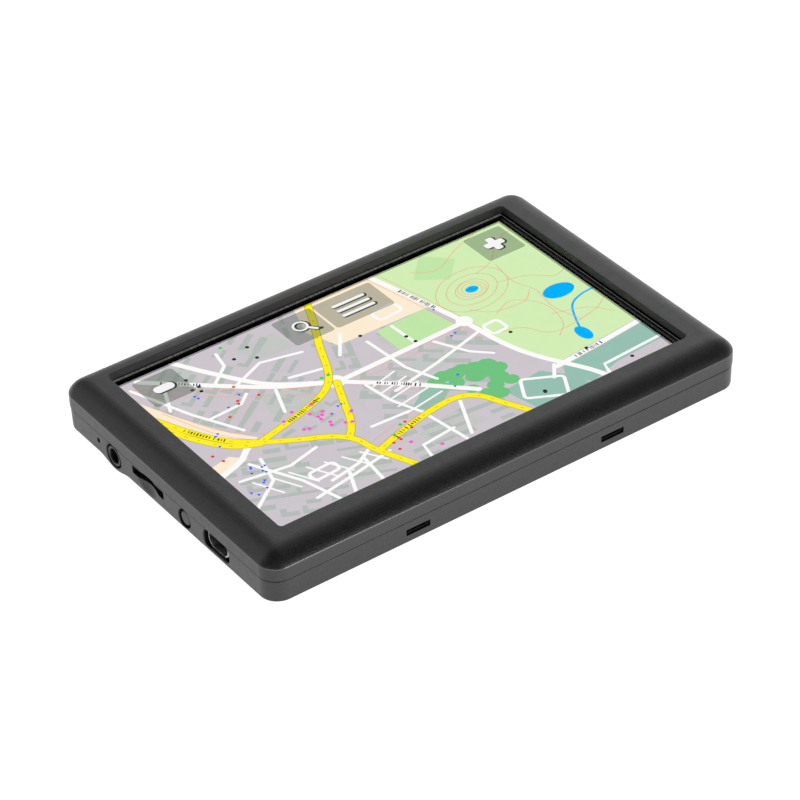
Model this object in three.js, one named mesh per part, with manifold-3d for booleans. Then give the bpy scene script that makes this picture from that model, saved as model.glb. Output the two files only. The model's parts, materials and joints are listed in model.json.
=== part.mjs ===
// Portable GPS navigator with a 5 inch resistive touch screen, lying on its back.
// Millimetres. +Z is the way the screen faces, +Y is the device's top edge, +X its right side.
// The origin is the middle of the flat back, on the surface that the device lies on.
import * as THREE from "three";
import { mergeVertices } from "three/addons/utils/BufferGeometryUtils.js";
import Module from "manifold-3d";

const wasm = await Module();
wasm.setup();

// Housing
const WIDTH = 129.4;
const DEPTH = 84.3;
const CORNER_R = 4.8;
const INNER_CORNER_R = 1.2;
const BACK_RISE = 1.7; // height of the sloped border round the flat back
const BACK_BORDER = 6.0; // width of that border
const REAR_WALL_H = 5.6; // straight wall of the rear shell
const FRONT_WALL_H = 3.3; // straight wall of the front shell
const CROWN_H = 3.3; // rise of the curved bezel above its rim
const CROWN_W = 5.5;
const CROWN_STEPS = 6;
const SIDE_WALL = 1.8;
const FLOOR = 1.5;
const BEZEL_T = 1.7;
const BEZEL_SLOPE_IN = 1.8; // the wall thickens inwards by this much up to the bezel
const REAR_INSET = 0.15; // the rear shell is this much smaller all round
const REAR_DRAFT = 0.12;
const SHELL_GAP = 0.05;
const TONGUE_T = 0.7;
const TONGUE_H = 1.0;
const TONGUE_ROOT_H = 1.1;
const TONGUE_CLEARANCE = 0.3;
const TONGUE_PORT_GAP = 1.0; // past the first and last port, where the tongue stops

// Window and display stack
const BEZEL_SIDE = 8.75;
const BEZEL_FRONT = 8.63;
const BEZEL_BACK = 6.17;
const WINDOW_R = 1.2;
const WINDOW_DRAFT = 0.3;
const STACK_GAP = 0.05;
const GASKET_T = 0.3;
const GASKET_W = 1.6;
const GASKET_SETBACK = 0.4;
const TOUCH_OVERLAP = 2.35; // under the bezel on each side
const TOUCH_SHIFT = 0.63; // towards the front, where its flat cable leaves
const FILM_T = 0.2;
const GLASS_T = 0.55;
const LCD_OVERLAP_X = 2.35;
const LCD_OVERLAP_Y = 2.95;
const LCD_SHIFT = 1.56;
const LCD_PANEL_T = 1.2;
const BACKLIGHT_T = 1.3;
const CHASSIS_T = 0.3;
const CHASSIS_GAP = 0.2;

// Main board
const BOARD_T = 1.0;
const BOARD_LEFT = 3.1; // from the outer face of the left wall
const BOARD_RIGHT = 7.7;
const BOARD_FRONT = 5.15;
const BOARD_BACK = 3.6;
const BOARD_NOTCH_GAP = 0.5; // round the two left screw bosses
const BOARD_CLEARANCE = 0.3; // under the display chassis

// Ports in the left wall: places along Y, sizes
const JACK_Y = 20.8;
const JACK_BORE_R = 1.8;
const JACK_NOZZLE_R = 2.55;
const JACK_HOLE_R = 3.0;
const JACK_SLEEVE_R = 3.6;
const JACK_SLEEVE_L = 2.8;
const JACK_BODY = { length: 10.5, width: 6.0, height: 5.1 };
const JACK_NOZZLE_IN = 2.6; // how far the round nozzle reaches inside the wall
const JACK_BODY_LAP = 0.2;
const JACK_END_T = 1.0;
const JACK_CONTACT = { setback: 1.0, length: 2.0, clearance: 0.05, wall: 0.2 };
const RELIEF_GAP = 0.3; // round the parts that reach down into the floor
const CARD_Y = 6.43;
const CARD_SLOT = { width: 12.7, height: 2.1 };
const CARD_SOCKET = { length: 15.0, width: 14.0, height: 1.85, wall: 0.2 };
const CARD_SOCKET_SETBACK = 0.3; // of every socket from the inside of the wall
const CARD_DROP = 0.2; // of the slot below the socket's middle
const CARD_TRAVEL = 1.0;
const CARD_SLIDER = { rail: 8.0, railWidth: 1.5, foot: 1.2, clearance: 0.1, gap: 0.2 };
const SCOOP = { width: 10.0, depth: 1.2, drop: 2.5 };
const POWER_Y = -8.14;
const POWER_Z_BELOW_BOARD = 2.25;
const POWER_HOLE_R = 2.35;
const POWER_CAP_R = 1.85;
const POWER_FLANGE = { width: 8.0, height: 2.8, thick: 0.6 };
const POWER_TRAVEL = 0.3;
const RESET_Y = 27.0;
const RESET_HOLE_R = 0.6;
const RESET_TRAVEL = 0.25;
const SWITCH = { depth: 3.5, width: 4.5, height: 4.5 };
const RESET_SWITCH = { depth: 3.0, width: 3.4, height: 3.4 };
const SWITCH_FACE_GAP = 0.7; // between plunger face and switch, past the travel
const PLUNGER_R = 1.0;
const PLUNGER_CLEARANCE = 0.12;
const PLUNGER_DEPTH = 1.3; // of the plunger in its switch
const USB_Y = -20.68;
const USB_POCKET = { width: 9.9, height: 4.4, corner: 1.7 };
const USB_SHELL = { length: 9.0, width: 7.7, height: 3.9, wall: 0.3 };
const USB_CHAMFER = 1.2;
const USB_SETBACK = 0.7; // of the metal shell from the outer face
const USB_TONGUE = { width: 4.6, thick: 0.8, rise: 0.45, setback: 0.9 };
const USB_BASE = { width: 5.0, height: 2.2, rise: 0.15, length: 2.2 };

// Cradle slots in the two long walls
const SLOT_SPACING = 53.6;
const SLOT_X = 0.5;
const SLOT = { width: 6.4, height: 1.6 };
const SLOT_Z = 4.35;

// Fasteners
const SCREW_INSET_X = 3.75;
const SCREW_INSET_Y = 8.0;
const SCREW_R = 0.95;
const SCREW_HEAD_R = 1.75;
const SCREW_HEAD_H = 1.1;
const SCREW_LENGTH = 8.0;
const SCREW_SEAT_Z = 2.6;
const SCREW_CLEARANCE = 0.15;
const BOSS_R = 2.1;
const REAR_BOSS_R = 2.6;

// Rear of the device
const SPEAKER = { x: 40.0, y: 13.0, r: 14.0, gasket: 0.5 };
const SPEAKER_RING = { thick: 0.8, height: 2.0, clearance: 0.4 };
const SPEAKER_BELOW_BOARD = 0.6; // the gap from its magnet to the board's parts
const SPEAKER_TRAVEL = 0.3;
const GRILLE = { r: 10.5, slot: 1.3, pitch: 2.6 };
const LABEL = { width: 46.0, depth: 22.0, x: -6.0, y: -12.0, recess: 0.25 };
const BATTERY = { width: 60.0, depth: 34.0, corner: 1.2, x: -2.0, y: -13.5 };
const BATTERY_PAD = { inset: 6.0, thick: 0.4 };
const BATTERY_BELOW_BOARD = 0.6;
const ANTENNA = { side: 25.0, height: 4.0, x: -20.0, y: 24.5 };
const ANTENNA_PATCH = { inset: 2.5, thick: 0.1, corner: 1.0 };

// Parts under the board: name, middle, [size along X, size along Y, height], material
const CHIPS = [
  ["processor_chip", [4, 14], [14, 14, 1.2], "chip"],
  ["memory_chip", [4, 29], [12.5, 8, 1.0], "chip"],
  ["flash_chip", [17, 27], [12, 18, 1.0], "chip"],
  ["power_chip", [-41, -8], [6, 6, 0.9], "chip"],
  ["power_inductor", [-41, -18], [5.5, 5.5, 3.0], "chip"],
  ["crystal_can", [-42, 14], [5, 3.2, 1.1], "steel"],
  ["receiver_shield", [-42, 30], [14, 13, 1.8], "steel"],
  ["battery_connector", [36, -14], [6, 5, 2.6], "white"],
  ["speaker_connector", [49, -14], [5, 4, 2.2], "white"],
];
const WIRE_DROP = 1.5; // of the wires below the board
const WIRE_SPACING = 2.1;
const WIRE_R = 0.42;

// Flat cables at the front edge: middle along X and width
const LCD_FLEX = { x: -4, width: 20 };
const TOUCH_FLEX = { x: 42, width: 7 };
const FLEX_T = 0.14;
const FLEX_SETBACK = 0.35; // from the tongue
const FLEX_ENTRY = 0.45; // below the board's underside
const FLEX_CONNECTOR = { extra: 3.0, depth: 4.2, height: 1.2 };

// Sizes and heights that follow from those above
const WINDOW_W = WIDTH - 2 * BEZEL_SIDE;
const WINDOW_D = DEPTH - BEZEL_FRONT - BEZEL_BACK;
const WINDOW_Y = (BEZEL_FRONT - BEZEL_BACK) / 2;
const TOUCH_W = WINDOW_W + 2 * TOUCH_OVERLAP;
const TOUCH_D = WINDOW_D + 2 * TOUCH_OVERLAP;
const TOUCH_Y = WINDOW_Y - TOUCH_SHIFT;
const LCD_W = WINDOW_W + 2 * LCD_OVERLAP_X;
const LCD_D = WINDOW_D + 2 * LCD_OVERLAP_Y;
const LCD_Y = WINDOW_Y - LCD_SHIFT;
const WALL_Z = BACK_RISE;
const PART_Z = WALL_Z + REAR_WALL_H;
const RIM_Z = PART_Z + FRONT_WALL_H;
const TOP_Z = RIM_Z + CROWN_H;
const BEZEL_UNDER_Z = TOP_Z - BEZEL_T;
const GASKET_Z = BEZEL_UNDER_Z - STACK_GAP - GASKET_T;
const FILM_Z = GASKET_Z - STACK_GAP - FILM_T;
const GLASS_Z = FILM_Z - STACK_GAP - GLASS_T;
const LCD_Z = GLASS_Z - STACK_GAP - LCD_PANEL_T;
const BACKLIGHT_Z = LCD_Z - STACK_GAP - BACKLIGHT_T;
const CHASSIS_Z = BACKLIGHT_Z - STACK_GAP - CHASSIS_T;
const BOARD_Z = CHASSIS_Z - BOARD_CLEARANCE - BOARD_T;
const MOUNT_Z = BOARD_Z - STACK_GAP; // what is soldered under the board starts here
const LEFT_FACE = -WIDTH / 2 + REAR_INSET;
const LEFT_INNER = -WIDTH / 2 + SIDE_WALL;
const JACK_Z = MOUNT_Z - JACK_BODY.height / 2;
const CARD_Z = MOUNT_Z - CARD_SOCKET.height / 2 - CARD_DROP;
const POWER_Z = MOUNT_Z - POWER_Z_BELOW_BOARD;
const RESET_Z = MOUNT_Z - RESET_SWITCH.height / 2;
const USB_Z = MOUNT_Z - USB_SHELL.height / 2;
const SCREW_X = WIDTH / 2 - SCREW_INSET_X;
const SCREW_Y = DEPTH / 2 - SCREW_INSET_Y;
const PAST = 2; // how far a cutting tool runs past what it cuts
const ROUND = 28;

const materials = {
  housing: finish(0x4e4e50, 0.62, 0),
  rubber: finish(0x141414, 0.9, 0),
  film: finish(0x0c0d0e, 0.12, 0),
  glass: finish(0x20262a, 0.05, 0),
  screen: finish(0xcbc2c8, 0.3, 0),
  diffuser: finish(0xf2f2ee, 0.5, 0),
  steel: finish(0xb4b6b8, 0.35, 1),
  board: finish(0x1f5a35, 0.5, 0),
  chip: finish(0x1b1b1d, 0.55, 0),
  ceramic: finish(0xd9cbb0, 0.6, 0),
  silver: finish(0xd6d6d2, 0.3, 1),
  plastic: finish(0x232325, 0.5, 0),
  cell: finish(0xb9bcc0, 0.35, 0.6),
  flex: finish(0xb5742a, 0.45, 0),
  white: finish(0xe6e4dc, 0.55, 0),
  red: finish(0xa81e1e, 0.5, 0),
  cone: finish(0x2a2c30, 0.4, 0),
};

function finish(color, roughness, metalness) {
  return new THREE.MeshStandardMaterial({ color, roughness, metalness, flatShading: true });
}

// ---- shapes ----

function roundedPoints(width, depth, radius, steps = 6) {
  const points = [];
  const corners = [[1, 1], [-1, 1], [-1, -1], [1, -1]];
  corners.forEach(([sx, sy], quarter) => {
    for (let step = 0; step <= steps; step += 1) {
      const angle = (quarter + step / steps) * Math.PI / 2;
      const x = sx * (width / 2 - radius) + radius * Math.cos(angle);
      const y = sy * (depth / 2 - radius) + radius * Math.sin(angle);
      points.push(new THREE.Vector2(x, y));
    }
  });
  return points;
}

// The outline of a slot with round ends, lying along X.
function slotPoints(length, width, steps = 8) {
  const points = [];
  for (const side of [1, -1]) {
    for (let step = 0; step <= steps; step += 1) {
      const angle = (step / steps - side / 2) * Math.PI;
      const x = side * (length - width) / 2 + (width / 2) * Math.cos(angle);
      points.push(new THREE.Vector2(x, (width / 2) * Math.sin(angle)));
    }
  }
  return points;
}

// A closed body through a stack of rounded rectangles, each { inset, z }, from the lowest up.
function stack(width, depth, radius, levels, y = 0) {
  const positions = [];
  const index = [];
  let count = 0;
  for (const { inset, z } of levels) {
    const corner = Math.max(radius - inset, INNER_CORNER_R);
    const ring = roundedPoints(width - 2 * inset, depth - 2 * inset, corner);
    count = ring.length;
    ring.forEach((point) => positions.push(point.x, point.y + y, z));
  }
  const last = (levels.length - 1) * count;
  for (let level = 0; level < levels.length - 1; level += 1) {
    for (let side = 0; side < count; side += 1) {
      const next = (side + 1) % count;
      const low = level * count;
      const high = low + count;
      index.push(low + side, low + next, high + next);
      index.push(low + side, high + next, high + side);
    }
  }
  for (let side = 1; side < count - 1; side += 1) {
    index.push(0, side + 1, side);
    index.push(last, last + side, last + side + 1);
  }
  const geometry = new THREE.BufferGeometry();
  geometry.setAttribute("position", new THREE.Float32BufferAttribute(positions, 3));
  geometry.setIndex(index);
  return geometry;
}

function plate(points, low, high) {
  const geometry = new THREE.ExtrudeGeometry(new THREE.Shape(points), {
    depth: high - low,
    bevelEnabled: false,
  });
  return geometry.translate(0, 0, low);
}

// A box given by its limits on each axis.
function block([x0, x1], [y0, y1], [z0, z1]) {
  const geometry = new THREE.BoxGeometry(x1 - x0, y1 - y0, z1 - z0);
  return geometry.translate((x0 + x1) / 2, (y0 + y1) / 2, (z0 + z1) / 2);
}

function around(middle, size) {
  return [middle - size / 2, middle + size / 2];
}

// A round bar standing along Z.
function post(x, y, radius, [z0, z1], sides = ROUND) {
  const geometry = new THREE.CylinderGeometry(radius, radius, z1 - z0, sides);
  return geometry.rotateX(Math.PI / 2).translate(x, y, (z0 + z1) / 2);
}

// A round bar lying along X.
function bar([x0, x1], y, z, radius, sides = ROUND) {
  const geometry = new THREE.CylinderGeometry(radius, radius, x1 - x0, sides);
  return geometry.rotateZ(Math.PI / 2).translate((x0 + x1) / 2, y, z);
}

// A bar with a rounded section, lying along X: the section is width along Y by height along Z.
function roundedBar([x0, x1], y, z, { width, height, corner }) {
  const points = roundedPoints(width, height, corner, 8);
  const geometry = plate(points, 0, x1 - x0);
  return geometry.rotateX(Math.PI / 2).rotateZ(Math.PI / 2).translate(x0, y, z);
}

// A turned body: the profile is [radius, z] pairs, and its axis stands at x, y.
function turned(x, y, profile, sides = ROUND) {
  const points = profile.map(([radius, z]) => new THREE.Vector2(radius, z));
  return new THREE.LatheGeometry(points, sides).rotateX(Math.PI / 2).translate(x, y, 0);
}

// A wire along a smooth line through the given points.
function wire(points, radius, steps = 14) {
  const path = new THREE.CatmullRomCurve3(points.map((point) => new THREE.Vector3(...point)));
  const section = new THREE.Shape();
  section.absarc(0, 0, radius, 0, Math.PI * 2);
  return new THREE.ExtrudeGeometry(section, { extrudePath: path, steps, curveSegments: 4 });
}

// A flat flexible circuit: a strip of even thickness that follows a line of [y, z] points.
function flex(line, thickness, [x0, x1]) {
  const curve = new THREE.CatmullRomCurve3(line.map(([y, z]) => new THREE.Vector3(y, z, 0)));
  const centre = curve.getPoints(18);
  const left = [];
  const right = [];
  centre.forEach((point, i) => {
    const tangent = curve.getTangent(i / (centre.length - 1));
    const normal = new THREE.Vector2(-tangent.y, tangent.x).multiplyScalar(thickness / 2);
    left.push(new THREE.Vector2(point.x + normal.x, point.y + normal.y));
    right.unshift(new THREE.Vector2(point.x - normal.x, point.y - normal.y));
  });
  const geometry = plate(left.concat(right), 0, x1 - x0);
  return geometry.rotateX(Math.PI / 2).rotateZ(Math.PI / 2).translate(x0, 0, 0);
}

// ---- joining and cutting ----

function toSolid(geometry) {
  const bare = geometry.clone();
  bare.deleteAttribute("normal");
  bare.deleteAttribute("uv");
  const merged = mergeVertices(bare, 1e-5);
  const vertProperties = new Float32Array(merged.attributes.position.array);
  const triVerts = new Uint32Array(merged.index.array);
  return new wasm.Manifold(new wasm.Mesh({ numProp: 3, vertProperties, triVerts }));
}

function toGeometry(solid) {
  const mesh = solid.getMesh();
  const geometry = new THREE.BufferGeometry();
  geometry.setAttribute("position", new THREE.BufferAttribute(mesh.vertProperties, 3));
  geometry.setIndex(new THREE.BufferAttribute(mesh.triVerts, 1));
  return geometry;
}

function join(...pieces) {
  return toGeometry(pieces.map(toSolid).reduce((whole, piece) => whole.add(piece)));
}

function cut(piece, ...tools) {
  return toGeometry(tools.map(toSolid).reduce((whole, tool) => whole.subtract(tool), toSolid(piece)));
}

function common(first, second) {
  return toGeometry(toSolid(first).intersect(toSolid(second)));
}

// ---- the assembly ----

const navigator = new THREE.Group();

function add(name, geometry, material) {
  geometry.computeVertexNormals();
  const mesh = new THREE.Mesh(geometry, material);
  mesh.name = name;
  navigator.add(mesh);
}

function screwPlaces() {
  return [[1, 1], [-1, 1], [-1, -1], [1, -1]].map(([sx, sy]) => [sx * SCREW_X, sy * SCREW_Y]);
}

// The bezel's crown is an arc that leaves the rim steeply and ends level at the flat top.
function crownLevels() {
  const sweep = 2 * Math.atan(CROWN_H / CROWN_W);
  const radius = CROWN_W / Math.sin(sweep);
  const levels = [];
  for (let step = 0; step <= CROWN_STEPS; step += 1) {
    const angle = sweep * (1 - step / CROWN_STEPS);
    const inset = CROWN_W - radius * Math.sin(angle);
    levels.push({ inset, z: TOP_Z - radius * (1 - Math.cos(angle)) });
  }
  return levels;
}

function frontShell() {
  const outside = stack(WIDTH, DEPTH, CORNER_R, [{ inset: 0, z: PART_Z }, ...crownLevels()]);
  const inside = stack(WIDTH, DEPTH, CORNER_R, [
    { inset: SIDE_WALL, z: PART_Z - PAST },
    { inset: SIDE_WALL, z: RIM_Z - 0.3 },
    { inset: SIDE_WALL + BEZEL_SLOPE_IN, z: BEZEL_UNDER_Z },
  ]);
  const window = stack(WINDOW_W, WINDOW_D, WINDOW_R, [
    { inset: WINDOW_DRAFT, z: BEZEL_UNDER_Z - PAST },
    { inset: WINDOW_DRAFT, z: BEZEL_UNDER_Z },
    { inset: 0, z: TOP_Z },
    { inset: 0, z: TOP_Z + PAST },
  ], WINDOW_Y);
  const bossLow = PART_Z + TONGUE_CLEARANCE;
  const shell = cut(outside, inside, window);
  const bosses = screwPlaces().map(([x, y]) => (
    common(outside, post(x, y, BOSS_R, [bossLow, RIM_Z + 1]))
  ));
  const pilots = screwPlaces().map(([x, y]) => (
    post(x, y, SCREW_R + SCREW_CLEARANCE, [bossLow - PAST, SCREW_SEAT_Z + SCREW_LENGTH + 0.3], 16)
  ));
  return cut(join(shell, ...bosses), ...pilots);
}

// The tongue stands inside the front shell's wall and stops where the ports and bosses are.
function tongue() {
  const low = PART_Z - TONGUE_ROOT_H;
  const seam = PART_Z - SHELL_GAP;
  const high = PART_Z + TONGUE_H;
  const outer = SIDE_WALL + TONGUE_CLEARANCE;
  const inner = outer + TONGUE_T;
  const root = SIDE_WALL - 0.2;
  const whole = join(
    stack(WIDTH, DEPTH, CORNER_R, [{ inset: root, z: low }, { inset: root, z: seam }]),
    stack(WIDTH, DEPTH, CORNER_R, [{ inset: outer, z: low }, { inset: outer, z: high }]),
  );
  const hollow = stack(WIDTH, DEPTH, CORNER_R, [
    { inset: inner, z: low - PAST },
    { inset: inner, z: high + PAST },
  ]);
  const firstPort = USB_Y - USB_POCKET.width / 2 - TONGUE_PORT_GAP;
  const lastPort = RESET_Y + RESET_SWITCH.width / 2 + TONGUE_PORT_GAP;
  const ports = block([LEFT_INNER - 0.1, LEFT_INNER + 3], [firstPort, lastPort], [low - PAST, high + PAST]);
  const bosses = screwPlaces().map(([x, y]) => post(x, y, BOSS_R + TONGUE_CLEARANCE, [seam, high + PAST]));
  return cut(whole, hollow, ports, ...bosses);
}

function grilleSlots() {
  const slots = [];
  const rows = Math.floor(GRILLE.r / GRILLE.pitch);
  for (let row = -rows; row <= rows; row += 1) {
    const offset = row * GRILLE.pitch;
    const length = 2 * Math.sqrt(GRILLE.r ** 2 - offset ** 2);
    const slot = plate(slotPoints(length, GRILLE.slot), -PAST, FLOOR + PAST);
    slots.push(slot.translate(SPEAKER.x, SPEAKER.y + offset, 0));
  }
  return slots;
}

function cradleSlots() {
  const slots = [];
  for (const side of [-1, 1]) {
    for (const end of [-1, 1]) {
      const x = around(SLOT_X + side * SLOT_SPACING / 2, SLOT.width);
      const y = around(end * (DEPTH / 2 - SIDE_WALL / 2), SIDE_WALL + PAST);
      slots.push(block(x, y, around(SLOT_Z, SLOT.height)));
    }
  }
  return slots;
}

// A thumb scoop under the card slot: the lower half of a flattened ball.
function scoop() {
  const ball = new THREE.SphereGeometry(1, 24, 12);
  ball.scale(SCOOP.depth, SCOOP.width / 2, SCOOP.drop);
  ball.translate(LEFT_FACE, CARD_Y, CARD_Z - CARD_SLOT.height / 2);
  const below = block(
    around(LEFT_FACE, 2 * PAST),
    around(CARD_Y, SCOOP.width + PAST),
    [CARD_Z - SCOOP.drop - 2, CARD_Z],
  );
  return common(ball, below);
}

// Room in the floor for a socket that hangs from the board behind the left wall.
function relief(y, { width, height }, [from, to]) {
  const low = MOUNT_Z - height - RELIEF_GAP;
  return block([LEFT_INNER + from, LEFT_INNER + to], around(y, width + 2 * RELIEF_GAP), [low, PART_Z]);
}

function portCuts() {
  const through = [LEFT_FACE - PAST, LEFT_INNER + 1];
  const jackReach = JACK_NOZZLE_IN + JACK_BODY.length + RELIEF_GAP;
  const switchReach = POWER_FLANGE.thick + POWER_TRAVEL + SWITCH_FACE_GAP + SWITCH.depth + 1;
  return [
    bar([LEFT_FACE - PAST, LEFT_INNER + 4.5], JACK_Y, JACK_Z, JACK_HOLE_R),
    relief(JACK_Y, JACK_BODY, [JACK_NOZZLE_IN - JACK_BODY_LAP - RELIEF_GAP, jackReach]),
    relief(POWER_Y, SWITCH, [0.5, switchReach]),
    block(through, around(CARD_Y, CARD_SLOT.width), around(CARD_Z, CARD_SLOT.height)),
    scoop(),
    bar(through, POWER_Y, POWER_Z, POWER_HOLE_R),
    bar(through, RESET_Y, RESET_Z, RESET_HOLE_R, 14),
    roundedBar(through, USB_Y, USB_Z, USB_POCKET),
  ];
}

function rearShell() {
  const low = REAR_INSET + REAR_DRAFT;
  const outside = stack(WIDTH, DEPTH, CORNER_R, [
    { inset: BACK_BORDER, z: 0 },
    { inset: low, z: WALL_Z },
    { inset: REAR_INSET, z: PART_Z - SHELL_GAP },
  ]);
  const inside = stack(WIDTH, DEPTH, CORNER_R, [
    { inset: BACK_BORDER, z: FLOOR },
    { inset: SIDE_WALL, z: FLOOR + BACK_RISE * (1 - SIDE_WALL / BACK_BORDER) },
    { inset: SIDE_WALL, z: PART_Z + PAST },
  ]);
  const bossTop = PART_Z - SHELL_GAP;
  const bosses = screwPlaces().map(([x, y]) => (
    common(outside, post(x, y, REAR_BOSS_R, [FLOOR - 1, bossTop]))
  ));
  const ringR = SPEAKER.r + SPEAKER_RING.clearance;
  const ringTop = FLOOR + SPEAKER_RING.height;
  const ring = cut(
    post(SPEAKER.x, SPEAKER.y, ringR + SPEAKER_RING.thick, [FLOOR - 0.5, ringTop]),
    post(SPEAKER.x, SPEAKER.y, ringR, [FLOOR, ringTop + PAST]),
  );
  const sleeve = common(
    bar([LEFT_FACE, LEFT_FACE + JACK_SLEEVE_L], JACK_Y, JACK_Z, JACK_SLEEVE_R),
    block([LEFT_FACE - PAST, LEFT_INNER + PAST], around(JACK_Y, 3 * JACK_SLEEVE_R), [0, bossTop]),
  );
  const screwHoles = screwPlaces().flatMap(([x, y]) => [
    post(x, y, SCREW_R + SCREW_CLEARANCE, [-PAST, PART_Z + PAST], 16),
    post(x, y, SCREW_HEAD_R + SCREW_CLEARANCE, [-PAST, SCREW_SEAT_Z], 20),
  ]);
  const label = block(around(LABEL.x, LABEL.width), around(LABEL.y, LABEL.depth), [-PAST, LABEL.recess]);
  const body = join(cut(outside, inside), tongue(), ...bosses, ring, sleeve);
  return cut(body, ...portCuts(), ...cradleSlots(), ...grilleSlots(), ...screwHoles, label);
}

function addHousing() {
  add("front_shell", frontShell(), materials.housing);
  add("rear_shell", rearShell(), materials.housing);
  screwPlaces().forEach(([x, y], i) => {
    const seat = SCREW_SEAT_Z - STACK_GAP;
    const screw = turned(x, y, [
      [0, seat - SCREW_HEAD_H + 0.5],
      [0.6, seat - SCREW_HEAD_H],
      [SCREW_HEAD_R, seat - SCREW_HEAD_H],
      [SCREW_HEAD_R, seat],
      [SCREW_R, seat],
      [SCREW_R, seat + SCREW_LENGTH - 1],
      [0, seat + SCREW_LENGTH],
    ], 16);
    add(`housing_screw_${i + 1}`, screw, materials.steel);
  });
}

function addDisplay() {
  const seal = stack(WINDOW_W, WINDOW_D, WINDOW_R, [
    { inset: -GASKET_SETBACK - GASKET_W, z: GASKET_Z },
    { inset: -GASKET_SETBACK - GASKET_W, z: GASKET_Z + GASKET_T },
  ], WINDOW_Y);
  const hole = stack(WINDOW_W, WINDOW_D, WINDOW_R, [
    { inset: -GASKET_SETBACK, z: GASKET_Z - PAST },
    { inset: -GASKET_SETBACK, z: GASKET_Z + PAST },
  ], WINDOW_Y);
  add("window_gasket", cut(seal, hole), materials.rubber);

  const touchX = around(0, TOUCH_W);
  const touchY = around(TOUCH_Y, TOUCH_D);
  add("touch_film", block(touchX, touchY, [FILM_Z, FILM_Z + FILM_T]), materials.film);
  add("touch_glass", block(touchX, touchY, [GLASS_Z, GLASS_Z + GLASS_T]), materials.glass);

  const edge = CHASSIS_T + CHASSIS_GAP;
  const innerX = around(0, LCD_W - 2 * edge);
  const innerY = around(LCD_Y, LCD_D - 2 * edge);
  const lcdTop = LCD_Z + LCD_PANEL_T;
  add("lcd_panel", block(innerX, innerY, [LCD_Z, lcdTop]), materials.screen);
  add("lcd_backlight", block(innerX, innerY, [BACKLIGHT_Z, BACKLIGHT_Z + BACKLIGHT_T]), materials.diffuser);
  const tray = cut(
    block(around(0, LCD_W), around(LCD_Y, LCD_D), [CHASSIS_Z, lcdTop]),
    block(
      around(0, LCD_W - 2 * CHASSIS_T),
      around(LCD_Y, LCD_D - 2 * CHASSIS_T),
      [CHASSIS_Z + CHASSIS_T, lcdTop + PAST],
    ),
  );
  add("lcd_chassis", tray, materials.steel);
}

// A piece soldered to the underside of the board, given by its middle and its three sizes.
function boardPiece(name, x, y, [sizeX, sizeY, height], material) {
  add(name, block(around(x, sizeX), around(y, sizeY), [MOUNT_Z - height, MOUNT_Z]), material);
}

function addBoard() {
  const x = [LEFT_FACE + BOARD_LEFT, WIDTH / 2 - BOARD_RIGHT];
  const y = [-DEPTH / 2 + BOARD_FRONT, DEPTH / 2 - BOARD_BACK];
  const reach = REAR_BOSS_R + BOARD_NOTCH_GAP;
  const notches = [-1, 1].map((end) => block(
    [x[0] - PAST, -SCREW_X + reach],
    around(end * (SCREW_Y - reach + DEPTH / 4), DEPTH / 2),
    [BOARD_Z - PAST, BOARD_Z + BOARD_T + PAST],
  ));
  const blank = block(x, y, [BOARD_Z, BOARD_Z + BOARD_T]);
  add("main_board", cut(blank, ...notches), materials.board);
  CHIPS.forEach(([name, middle, size, look]) => boardPiece(name, ...middle, size, materials[look]));
  const { side, height } = ANTENNA;
  boardPiece("antenna_ceramic", ANTENNA.x, ANTENNA.y, [side, side, height], materials.ceramic);
  const patchTop = MOUNT_Z - height - STACK_GAP;
  const patchSide = side - 2 * ANTENNA_PATCH.inset;
  const outline = roundedPoints(patchSide, patchSide, ANTENNA_PATCH.corner, 3);
  const patch = plate(outline, patchTop - ANTENNA_PATCH.thick, patchTop);
  add("antenna_electrode", patch.translate(ANTENNA.x, ANTENNA.y, 0), materials.silver);
}

function addFlexes() {
  const edge = -DEPTH / 2 + BOARD_FRONT;
  const bend = -DEPTH / 2 + SIDE_WALL + TONGUE_CLEARANCE + TONGUE_T + FLEX_SETBACK;
  const entry = MOUNT_Z - FLEX_ENTRY;
  const cables = [
    ["lcd", LCD_FLEX, [LCD_Y - LCD_D / 2 - 0.1, LCD_Z + 0.3]],
    ["touch", TOUCH_FLEX, [TOUCH_Y - TOUCH_D / 2 - 0.15, GLASS_Z + GLASS_T / 2]],
  ];
  for (const [name, { x, width }, start] of cables) {
    const line = [
      start,
      [bend + 0.35, start[1] - 0.35],
      [bend, start[1] - 1.2],
      [bend, entry + 0.9],
      [bend + 0.3, entry + 0.15],
      [edge - 0.1, entry],
    ];
    add(`${name}_flex`, flex(line, FLEX_T, around(x, width)), materials.flex);
    const { extra, depth, height } = FLEX_CONNECTOR;
    const size = [width + extra, depth, height];
    boardPiece(`${name}_flex_connector`, x, edge + 0.1 + depth / 2, size, materials.white);
  }
}

function addJack() {
  const nozzleEnd = LEFT_INNER + JACK_NOZZLE_IN;
  const bodyX = [nozzleEnd - JACK_BODY_LAP, nozzleEnd - JACK_BODY_LAP + JACK_BODY.length];
  const body = join(
    bar([LEFT_FACE + 0.15, nozzleEnd], JACK_Y, JACK_Z, JACK_NOZZLE_R),
    block(bodyX, around(JACK_Y, JACK_BODY.width), around(JACK_Z, JACK_BODY.height)),
  );
  const bore = bar([LEFT_FACE - PAST, bodyX[1] - JACK_END_T], JACK_Y, JACK_Z, JACK_BORE_R);
  add("jack_body", cut(body, bore), materials.plastic);
  const { setback, length, clearance, wall } = JACK_CONTACT;
  const contactX = [nozzleEnd + setback, nozzleEnd + setback + length];
  const contact = bar(contactX, JACK_Y, JACK_Z, JACK_BORE_R - clearance);
  const hole = bar([contactX[0] - PAST, contactX[1] + PAST], JACK_Y, JACK_Z, JACK_BORE_R - clearance - wall);
  add("jack_contact", cut(contact, hole), materials.steel);
}

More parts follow.
